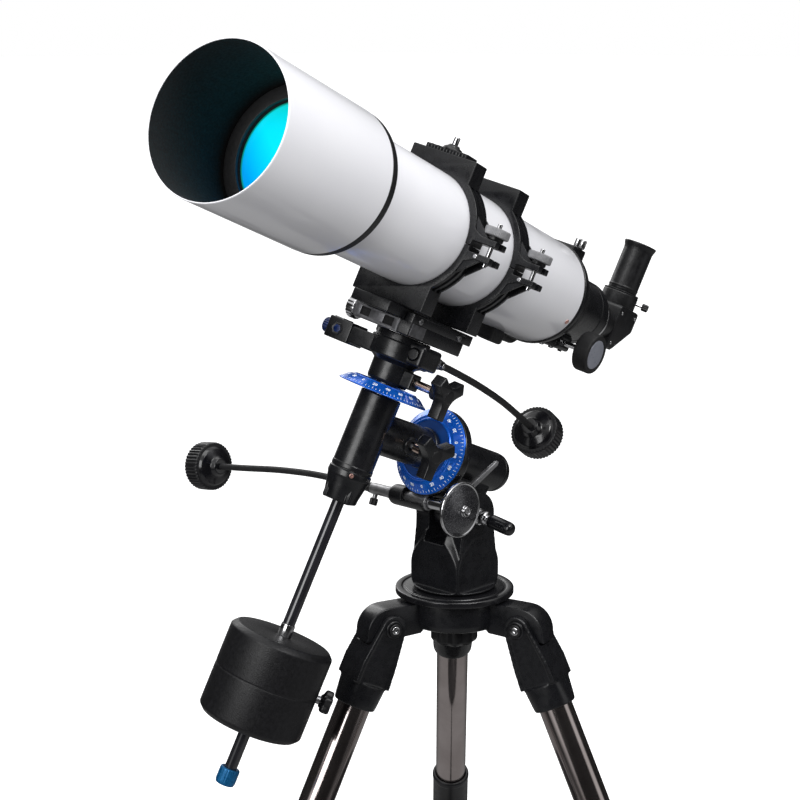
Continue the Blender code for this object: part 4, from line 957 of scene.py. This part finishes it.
def lock_knob(name, place, length, *on):
    """A bright stud and its three-armed knob; local Z points away from the mount."""
    show(rod(2.4, 0, 14, 24), f"{name}_thread", place, NICKEL, *on)
    lathe(f"{name}_stud", place, STUD, on, [(0, 12.7), (3.4, 12.7), (4.1, 13.4), (4.1, length - 21.5),
            (4.1, length - 15), (0, length - 15)], 48, 0.4)
    lathe(f"{name}_collar", place, RIDGED, on, [(0, length - 20), (6.6, length - 20), (7.6, length - 19),
            (8.2, length - 9), (0, length - 9)], 48, 0.8)
    show(star_knob(23.5, 7.2, 11.8, length - 12.8, length - 0.6), f"{name}_grip", place, CASTING, *on)
    lathe(f"{name}_cap", place, RIDGED, on, [(0, length - 4), (6.8, length - 4), (6.8, length - 0.4),
            (5, length), (0, length)], 48, 0.6)


def declination_head():
    on = ("dec", "dec_head")
    lathe("dec_collar", DEC, CASTING, on, [(10, 95), (25.5, 95), (26.2, 94), (26.4, 88), (27.2, 87.2),
            (27.2, 72), (26.2, 70.5), (23.5, 69), (20.5, 66.8), (20.2, 50), (19, 47), (10, 47)], 96, 0.6)
    show(rod(10, -48, 94, 48), "dec_shaft", DEC, NICKEL, *on)
    side, high = DEC_WORM
    worm_case = block((side - 10.6, -17.2, high - 10.6), (side + 10.6, 17.2, high + 10.6), 3)
    casting = joined(worm_case, block((-30, -12, 70), (6, 12, 92.5), 2),
            block((-30, -8, 49.2), (-10, 8, 65.2), 1.2))
    without(casting, moved(rod(6, -60, 60, 32), at(side, 0, high) @ NORTH))
    show(cast(casting, 0.7, 4), "dec_worm_case", DEC, CASTING, *on, sharp=0)
    show(block((15, -13, 69.2), (64, 13, 86), 1.8), "clamp_arm", DEC, CASTING, *on)
    show(block((50, -14.2, 67.2), (78, 14.2, 88), 1.2), "clamp_arm_end", DEC, CASTING, *on)
    port = DEC @ at(65.5, 13.8, 77.6) @ NORTH
    lathe("clamp_arm_port", port, RIDGED, on, [(4, 0), (6.4, 0), (6.6, 0.8), (5.8, 1.6), (4, 1)], 6, 0.2)
    lathe("clamp_arm_screw", port, NAVY, on, [(0, 0.2), (4.6, 0.2), (4.4, 1), (0, 1.4)], 48, 0.2)
    show(block((65.5, -9, 87.6), (76.5, 9, 89), 0.5), "clamp_arm_pad", DEC, NICKEL, *on)
    stack = DEC @ at(24.5, 3, 0)
    lathe("stop_nut", stack, NICKEL, on, [(0, 95.8), (6.2, 95.8), (6.2, 90.5), (5, 90), (5, 88.5), (7.2, 88),
            (7.2, 85), (0, 85)], 48, 0.5)


def declination_worm():
    on = ("dec_worm", "dec_worm")
    place = DEC @ at(DEC_WORM[0], 0, DEC_WORM[1]) @ NORTH
    lathe("dec_worm_end", place, RIDGED, on, [(0, 18.2), (4.6, 18.2), (5.4, 17.8), (5.4, 16.8), (0, 16.8)],
            64, 0.5)
    lathe("dec_worm_shaft", place, NICKEL, on, [(0, 18), (3, 17.4), (3, -17.4), (5.8, -17.4), (6.2, -18),
            (6.2, -20.5), (5.4, -21), (5.4, -29.2), (4.8, -30), (0, -30)], 64, 0.4)
    lathe("dec_sleeve_screw", place @ at(0, 0, -27.2) @ WEST, CHROME, on, [(0, 5.8), (2.2, 5.8), (2.5, 6.2),
            (2.5, 9.6), (2.1, 10), (0, 10)], 48, 0.3, flutes=(14, 0.3, 2))
    show(rod(1.6, 4.5, 7, 24), "dec_sleeve_screw_stem", place @ at(0, 0, -27.2) @ WEST, NICKEL, *on)


def round_screw(name, place, radius, core, *on):
    """A short ribbed hand screw, its stem toward -Z."""
    show(rod(2.5, -12, 1, 24), f"{name}_stem", place, NICKEL, *on)
    lathe(f"{name}_head", place, core, on, [(0, 11.8), (radius * 0.62, 11.8), (radius * 0.66, 10.8),
            (radius * 0.88, 11), (radius, 10), (radius, 1.6), (radius * 0.90, 0.4), (0, 0.4)], 96, 0.5,
            flutes=(20, 0.6, radius * 0.80))


def dovetail_saddle():
    on = ("dec", "saddle")
    show(block((-31, -55, 95.4), (31, 48, 108.6), 1.2), "saddle_plate", DEC, CASTING, *on)
    for name, low, high in (("west", -31, -21.8), ("east", 21.8, 31)):
        sign = 1 if high > 0 else -1
        jaw = [(-55, 108), (48, 108), (48, 116.5), (-55, 116.5)]
        show(slab(jaw, low, high, 1.4), f"saddle_jaw_{name}", DEC, CASTING, *on)
        for y in (-42, 35):
            show(socket_screw(3, 1.6), f"jaw_screw_{name}_{'front' if y > 0 else 'rear'}",
                    DEC @ at(sign * 30.9, y, 112) @ (EAST if sign > 0 else WEST), NICKEL, *on)
    arm = block((30, -13, 96), (58, 13, 112), 2)
    without(arm, block((35, -20, 101), (41, 9.5, 118), 0.4), block((46.5, -20, 101), (52.5, 9.5, 118), 0.4))
    # A flat black sheet across the backs of the front's two windows: painted shade in those recesses.
    show(block((-17.5, 47, 96.2), (29.5, 48.4, 107.4), 0.2), "saddle_front_painted_shade", DEC, FLOCK, *on)
    front = block((-19, 43, 95), (31.4, 50, 108.5), 1)
    without(front, block((14.5, 30, 98.5), (25, 60, 106.2), 0.4),
            block((-12.5, 30, 98.5), (-1.5, 60, 106.2), 0.4))
    show(eased(front), "saddle_front", DEC, EDGE_GREY, *on)
    show(eased(arm), "saddle_arm", DEC, EDGE_GREY, *on)
    show(block((-31.7, 20.5, 96.2), (-30, 46.2, 108), 0.5), "saddle_cheek", DEC, EDGE_GREY, *on)


def counterweight():
    show(rod(BAR_R, -356.5, -62.5, 64), "weight_shaft", RA, BLACK_CHROME, "ra", "weight_bar")
    show(pipe(6.8, 6.2, -212.5, -200, 64, 0.2), "weight_collar", RA, CHROME, "counterweight", "counterweight")
    lathe("weight_body", RA, WEIGHT_PAINT, ("counterweight", "counterweight"), [(6.4, -212), (46.5, -212),
            (51.5, -217), (51.5, -255), (51.1, -256), (51.1, -256.6), (51.5, -257.6), (51.5, -298),
            (46.5, -303), (6.4, -303)], 144, 1.6)
    screw = Matrix.Translation(place_of("weight_screw_turn")) @ pointing(axis_of("weight_screw_turn"))
    on = ("weight_screw", "weight_screw")
    show(rod(4, 17, 60, 32), "weight_screw_stem", screw, NICKEL, *on)
    lathe("weight_screw_head", screw, RIDGED, on, [(0, 55), (6, 55), (7, 56.5), (11.2, 58), (12, 59.2),
            (12, 64.5), (11, 66), (0, 66)], 96, 0.8, flutes=(5, 3.4, 6.5))
    lathe("end_cap", RA, TEAL_CAP, ("bar_cap", "bar_cap"), [(0, -357), (6.2, -357), (6.2, -347.7),
            (8.8, -347.7), (9.5, -348.3), (9.8, -349.5), (9.8, -361.5), (9, -364.1), (6.8, -364.5),
            (0, -364.1)], 96, 0.6, flutes=(24, 0.4, 9))


def control(name, place, route, *on):
    """A rubber-covered flexible shaft with a ferrule at its root."""
    show(tube_along(route, 3.5), f"{name}_cable", place, RUBBER, *on)
    ferrule = place @ at(*route[0]) @ pointing(Vector(route[1]) - Vector(route[0]))
    lathe(f"{name}_ferrule", ferrule, RIDGED, on, [(3, 0), (5.2, 0), (5.4, 3), (4.6, 4.5), (4.6, 10), (4, 12),
            (3, 12)], 48, 0.4)


def control_knob(name):
    """A deep black hand knob with a ribbed rim and a dished face."""
    joint = f"{name}_turn"
    place = Matrix.Translation(place_of(joint)) @ pointing(axis_of(joint))
    lathe(f"{name}_rim", place, RIDGED, (name, name), [(0, 31), (13, 31.2), (19, 33), (25.2, 33),
            (26.8, 31.6), (27, 14), (26.2, 12.2), (23, 11.8), (0, 11.8)], 192, 0.8, flutes=(44, 1, 24.8))
    lathe(f"{name}_back", place, GLOSS, (name, name), [(0, 12.5), (22.8, 12.5), (20, 9), (15, 7), (11, 5.5),
            (9, 0), (7, -0.2), (0, -0.2)], 96, 1)


def mount():
    azimuth_base()
    latitude_clamp()
    latitude_lever()
    polar_housing()
    setting_circle("polar_circle", LATITUDE @ at(0, 58.3, RA_RISE) @ NORTH, "ra_circle", "ra_circle")
    polar_worm()
    declination_housing()
    setting_circle("declination_circle", RA @ at(0, 0, 36.5), "dec_circle", "dec_circle")
    lock_knob("polar_lock", RA @ at(-13.5, -42, 0) @ WEST, 45, "ra_lock_knob", "ra_lock_knob")
    lock_knob("dec_lock", DEC @ at(-18.3, 0, 57) @ WEST, 52, "dec_lock_knob", "dec_lock_knob")
    declination_head()
    declination_worm()
    round_screw("arm_screw", DEC @ at(78, 0, 77.5) @ EAST, 7.5, NAVY, "dec_arm_screw", "dec_arm_screw")
    round_screw("saddle_knob", DEC @ at(58, 0, 104) @ EAST, 12, CHROME, "saddle_screw", "saddle_screw")
    dovetail_saddle()
    counterweight()
    control("polar", LATITUDE, RA_ROUTE, "latitude", "ra_cable")
    control("declination", DEC, DEC_ROUTE, "dec", "dec_cable")
    control_knob("ra_knob")
    control_knob("dec_knob")


# ---------------------------------------------------------------- optical tube
TUBE_R = 55
LENS_R = 51.1
LENS_CAP = math.radians(20)      # half angle of the cap the lens's front is cut from
LENS_CAP_RISE = 0.0603           # that cap's rise, for a unit radius of curvature
RING_R = 62.5
RING_HALF = 10.5
RINGS = {"front": 45.5, "rear": -46.5}
RING_HINGE_X = 68
CLAMP_BOLT_X = -77
PINION = (-276, -39)             # along and above the optical axis
DIAGONAL_AT = -400
ALONG = TUBE @ NORTH             # local Z along the tube, toward the sky
FLAT = Matrix(((0, 1, 0, 0), (0, 0, 1, 0), (1, 0, 0, 0), (0, 0, 0, 1)))     # lays a slab's outline in XY


def tube_and_cell():
    body = "optical_tube"
    show(pipe(TUBE_R, 53.5, -208, 244.7, 192), "white_tube", ALONG, ENAMEL, body, "main_tube")
    lathe("rear_seam", ALONG, RIDGED, (body, "main_tube"), [(54.9, -208), (55.4, -208), (55.4, -206.8),
            (54.9, -206.4)], 192, 0.1)
    lathe("lens_cell", ALONG, FLOCK_EDGE, (body, "objective_cell"), [(55.3, 206.5), (65, 206.5),
            (65.6, 207.2), (65.8, 214.6), (65, 215.2), (64.2, 215.2), (64.2, 272), (63.2, 273), (51.4, 273),
            (51.4, 256), (49.5, 256), (49.5, 245), (55.3, 245)], 192, 0.5)
    edge = math.cos(LENS_CAP)
    front = [(LENS_R * math.sin(math.radians(a)) / math.sin(LENS_CAP),
            266.3 + 3.5 * (math.cos(math.radians(a)) - edge) / LENS_CAP_RISE) for a in range(0, 21, 2)]
    lathe("lens", ALONG, LENS_PAINTED_GLOW, (body, "objective_lens"), [*front, (LENS_R, 256.5), (0, 256.5)], 192, 0.2,
            sharp=50)
    show(pipe(51.3, 50.3, 266.8, 269, 192, 0.3), "lens_retainer", ALONG, FLOCK, body, "objective_cell")
    shield = "dew_shield"
    lathe("shield_outside", ALONG, ENAMEL, (shield, shield), [(64.8, 215.5), (65.8, 215.5), (66, 215.9),
            (66, 372.8), (65.6, 374), (64.9, 374), (64.8, 373.6)], 192, 0.3)
    show(pipe(64.9, 64.5, 215.6, 373.4, 192, 0.1), "shield_inside", ALONG, FLOCK, shield, shield)


def ring_half(sign):
    """One half of a tube ring: band with raised rims, pad and the ear that takes the bolt."""
    inner, pad_z = TUBE_R + 0.6, 72.5
    pad_x = 36 if sign > 0 else 40
    pad_foot = math.degrees(math.acos(pad_x / RING_R))
    outline = [*arc((0, 0), inner, 0.5, 179.5, 60), (-61.5, 0.3), (-61.5, 5, 1), (-86, 5, 1), (-86, 11, 1),
            (-70, 11, 3), *arc((0, 0), RING_R, 166, 180 - pad_foot, 16), (-pad_x, pad_z, 1.2),
            (pad_x, pad_z, 1.2), *arc((0, 0), RING_R, pad_foot, 0.5, 20)]
    outline = [(y, sign * z, *radius) for y, z, *radius in outline]
    half = moved(slab(outline, -RING_HALF, RING_HALF, 0.9), turn(-90, "Z"))
    groove = [pipe(70, 61.2, low, high, 96, 0) for low, high in ((-7.2, -1.6), (1.6, 7.2))]
    tools = []
    for cutter in groove:
        moved(cutter, NORTH)
        keep = block((-62, -20, sign * 12) if sign > 0 else (-62, -20, -50),
                (62, 20, 50) if sign > 0 else (62, 20, -12), 0.1)
        tools.append(combine(cutter, [keep], "INTERSECT"))
    tools.append(block((CLAMP_BOLT_X - 15, -3, sign * 2 if sign > 0 else -20),
            (CLAMP_BOLT_X + 3, 3, 20 if sign > 0 else -2), 0.1))
    return without(half, *tools)


def rings():
    for side, along in RINGS.items():
        middle = TUBE @ at(0, along, 0)
        for half, sign, body in (("lower", -1, "cradle"), ("upper", 1, f"ring_{side}_upper")):
            node = f"ring_{side}_{half}"
            show(ring_half(sign), f"ring_{side}_{half}_band", middle, CASTING, body, node, sharp=35)
            lining = [*arc((0, 0), 55.6, 2, 178, 60), *arc((0, 0), 55.15, 178, 2, 60)]
            show(moved(slab([(x, sign * z) for x, z in lining], -8.5, 8.5, 0), turn(-90, "Z")),
                 f"ring_{side}_{half}_felt", middle, LINING, body, node)
            third = RING_HALF / 3
            spans = ((-3 * third, -third - 0.3), (third + 0.3, 3 * third)) if sign < 0 else ((-third, third),)
            for i, (low, high) in enumerate(spans):
                show(rod(4.8, low, high, 48, 0.5), f"ring_{side}_{half}_knuckle_{i}",
                     middle @ at(RING_HINGE_X) @ NORTH, CASTING, body, node)
                show(block((59, low + 0.2, 0.6 if sign > 0 else -4),
                           (RING_HINGE_X, high - 0.2, 4 if sign > 0 else -0.6), 0.5),
                     f"ring_{side}_{half}_web_{i}", middle, CASTING, body, node)
            for y in (-8.2, 8.2):
                rib = [(-60, sign * 10), (-77, sign * 10), (-57.5, sign * 27)]
                show(moved(slab(rib, y - 1.3, y + 1.3, 0.4), turn(-90, "Z")),
                     f"ring_{side}_{half}_gusset_{'a' if y < 0 else 'b'}", middle, CASTING, body, node)
        for name, lean in (("a", 1), ("b", -1)):
            lathe(f"ring_{side}_pin_{name}", middle @ at(CLAMP_BOLT_X + 6, lean * 10.3, -8)
                    @ (NORTH if lean > 0 else SOUTH), CHROME, ("cradle", f"ring_{side}_lower"),
                    [(0, 0), (2.2, 0), (2.2, 1), (1.6, 1.6), (0, 1.6)], 32, 0.3)
        bolt = f"ring_bolt_{side}"
        place = middle @ at(CLAMP_BOLT_X)
        show(rod(2.2, -14.2, 27.5, 32, 0.5), f"{bolt}_stud", place, CHROME, bolt, bolt)
        lathe(f"{bolt}_nut", place, SATIN, (bolt, bolt), [(2.2, 15), (11, 15), (12, 15.8), (12, 22.2),
                (11.2, 23), (2.2, 23)], 144, 0.4, flutes=(48, 0.5, 10.8))
        lathe(f"{bolt}_washer", place, RIDGED, (bolt, bolt), [(2.2, 11.3), (7.5, 11.3), (8, 12), (8, 15.2),
                (2.2, 15.2)], 64, 0.4)
    front_plate()
    show(block((-21.3, -85, -83.3), (21.3, 80, -72.9), 1), "dovetail", TUBE, CASTING, "cradle",
         "dovetail_bar")


def front_plate():
    """The wavy-edged accessory plate on the front ring's pad, with its stud."""
    place = TUBE @ at(0, RINGS["front"], 0)
    on = ("ring_front_upper", "ring_front_upper")
    wavy = []
    for x in range(-23, 24):
        wavy.append((x, -9.2 + 0.9 * math.cos(x * 0.9)))
    for x in range(23, -24, -1):
        wavy.append((x, 9.2 - 0.9 * math.cos(x * 0.9)))
    show(moved(slab(wavy, 72.2, 76.8, 0.7), FLAT), "accessory_plate", place, CASTING, *on)
    lathe("accessory_stud_base", place, RIDGED, on, [(0, 76.4), (9.8, 76.4), (10, 77.2), (8.8, 79.2),
            (6, 80.6), (5, 82.2), (0, 82.2)], 64, 0.6)
    lathe("accessory_stud", place, CHROME, on, [(0, 81.5), (3, 81.5), (3, 89.3), (2.4, 90), (0, 90)], 48, 0.4)


def focuser():
    on = ("optical_tube", "focuser_body")
    lathe("rear_cone", ALONG, CASTING, on, [(51.5, -208.3), (55.3, -208.3), (56.2, -209.2), (56.2, -213.5),
            (55.2, -216), (54.5, -220), (52, -226), (40, -256), (37.2, -261.2), (35.2, -264), (35.2, -303),
            (34.6, -303.6), (34.6, -304.6), (35.2, -305.2), (35.2, -318.5), (33.5, -324), (26.6, -324),
            (26.6, -262), (50, -221)], 144, 1)
    along, high = PINION
    pinion = block((-20, along - 16, high - 8), (20, along + 16, -30), 3)
    bore = moved(rod(3.4, -40, 40, 32), at(0, along, high) @ EAST)
    show(eased(without(pinion, bore)), "pinion_block", TUBE, CASTING, *on)
    for i, x in enumerate((-12, 0, 12)):
        for j, y in enumerate((-10.5, 10.5)):
            show(socket_screw(2.4, 1.8), f"pinion_screw_{i}_{j}", TUBE @ at(x, along + y, high - 7.9) @ DOWN,
                    CHROME if j else RIDGED, *on)
    shoe = block((-15, -252, 36), (15, -222, 58), 1.2)
    without(shoe, block((-9.5, -260, 54), (9.5, -226, 70), 0.3))
    show(eased(shoe), "finder_shoe", TUBE, CASTING, *on)
    screw = TUBE @ at(-12.5, -237, 52)
    show(rod(1.8, -1, 9, 24), "finder_screw_stem", screw, NICKEL, *on)
    lathe("finder_screw", screw, CHROME, on, [(0, 6), (5.4, 6), (6.2, 6.8), (6.2, 15.2), (5.5, 16), (0, 16)],
            96, 0.4, flutes=(24, 0.4, 5))
    lathe("cell_screw", TUBE @ at(0, -200, 0) @ turn(-112, "Y") @ at(0, 0, 54.8), COPPER, on,
            [(0, 0), (2.6, 0), (2.6, 0.8), (1.8, 1.5), (0, 1.5)], 32, 0.3)
    show(block((-9, -167, -69), (9, -138, -54), 3.5), "tube_stop", TUBE, RUBBER, *on)
    draw = "draw_tube"
    lathe("draw_barrel", ALONG, CHROME, (draw, draw), [(24, -205), (26.2, -205), (26.2, -327), (24, -327)],
            144, 0.4)
    lathe("draw_collar", ALONG, RIDGED, (draw, draw), [(16.2, -320), (24, -315), (24, -326.2), (29.2, -326.8),
            (30, -327.6), (30, -329), (29.2, -329.6), (29.2, -336.8), (16.2, -337)], 144, 0.4)
    show(pipe(30.2, 29, -335.2, -331.8, 144, 0.5), "draw_ring", ALONG, CHROME, draw, draw)


def focus_wheels():
    on = ("focus_wheels", "focus_wheels")
    axle = TUBE @ at(0, *PINION) @ EAST
    show(rod(3, -46, 46, 32), "pinion_axle", axle, CHROME, *on)
    for name, flip in (("east", Matrix.Identity(4)), ("west", DOWN)):
        place = axle @ flip
        lathe(f"wheel_tyre_{name}", place, RUBBER, on, [(0, 41.8), (18.8, 41.6), (20.5, 42.4), (21.5, 43.8),
                (21.5, 58), (20.6, 59.6), (18, 60), (16.8, 59.4), (16.4, 58.5), (0, 58.5)], 160, 0.8,
                flutes=(80, 0.25, 21.2))
        lathe(f"wheel_disc_{name}", place, DISC_GREY, on, [(0, 58), (16, 58), (16, 59.1), (15, 59.6),
                (0, 59.7)], 96, 0.4)
        lathe(f"wheel_hub_{name}", place, RIDGED, on, [(0, 38), (6, 38), (7, 39), (7, 44.5), (0, 44.5)], 48,
                0.5)


def diagonal():
    on = ("diagonal", "diagonal")
    place = TUBE @ at(0, DIAGONAL_AT, 0)
    lathe("diagonal_nose", ALONG, CHROME, on, [(12.8, -304), (15.8, -304), (15.8, -374), (12.8, -374)], 96,
            0.4)
    lathe("diagonal_collar", ALONG, RIDGED, on, [(15, -337.4), (23.6, -337.4), (24, -338), (24, -355),
            (23.2, -358), (22.2, -364), (21.4, -372), (20, -374), (15, -374)], 96, 0.6)
    box = [(30, -23, 4), (15, -23, 2), (-18.5, 4, 2), (-18.5, 27, 4), (30, 27, 4)]
    shape = slab(box, -22.2, 22.2, 1.4)
    without(shape, rod(15, -10, 40, 48))
    show(shape, "mirror_box", place, RIDGED, *on)
    back = [(14.4, -23.8), (15.2, -22.2), (-17.9, 4.8), (-19, 3.6)]
    show(slab(back, -20.5, 20.5, 0.4), "mirror_lid", place, CASTING, *on)
    for i, (y, z) in enumerate(((23, 19), (23, -16), (-13, 20))):
        for side, lean, x in (("east", EAST, 22), ("west", WEST, -22)):
            lathe(f"diagonal_screw_{side}_{i}", place @ at(x, y, z) @ lean, CHROME, on,
                    [(0, 0), (2, 0), (2, 0.6), (1.2, 1.2), (0, 1.3)], 24, 0.2)
    lathe("eyepiece_socket", place, RIDGED, on, [(16.3, 25), (19.8, 25), (20.5, 26.2), (20.5, 41.2),
            (20, 41.8), (20, 42.4), (20.5, 43), (20.5, 43.6), (20, 44), (16.3, 44)], 96, 0.4)
    screw = place @ turn(-60, "Z") @ at(0, 0, 36) @ SOUTH
    show(rod(1.6, 18.5, 30, 24), "socket_screw_stem", screw, CHROME, *on)
    lathe("socket_screw_head", screw, RIDGED, on, [(0, 27.5), (3.4, 27.5), (4.2, 28.5), (4.2, 34),
            (3.4, 35.2), (0, 35.2)], 64, 0.4, flutes=(12, 0.6, 3))
    eyepiece = "eyepiece_tube"
    lathe("eyepiece_barrel", place, RIDGED, ("eyepiece", eyepiece), [(14, 20), (14, 97.5), (17.2, 100.8),
            (18.4, 101), (18.8, 100.4), (18.6, 99), (17.2, 95), (16.8, 92), (16.8, 50), (17.2, 49.4),
            (17.2, 48.2), (16.8, 47.6), (16.8, 44.6), (15.9, 44.4), (15.9, 20)], 128, 0.4)
    lathe("eyepiece_glass", place, GLOSS, ("eyepiece", eyepiece), [(0, 86), (13.9, 86), (13.9, 89),
            (0, 89.6)], 64, 0.2)


def optics():
    tube_and_cell()
    rings()
    focuser()
    focus_wheels()
    diagonal()


def tripod():
    tripod_head()
    legs()
    tray()


stage()
camera()
tripod()
mount()
optics()
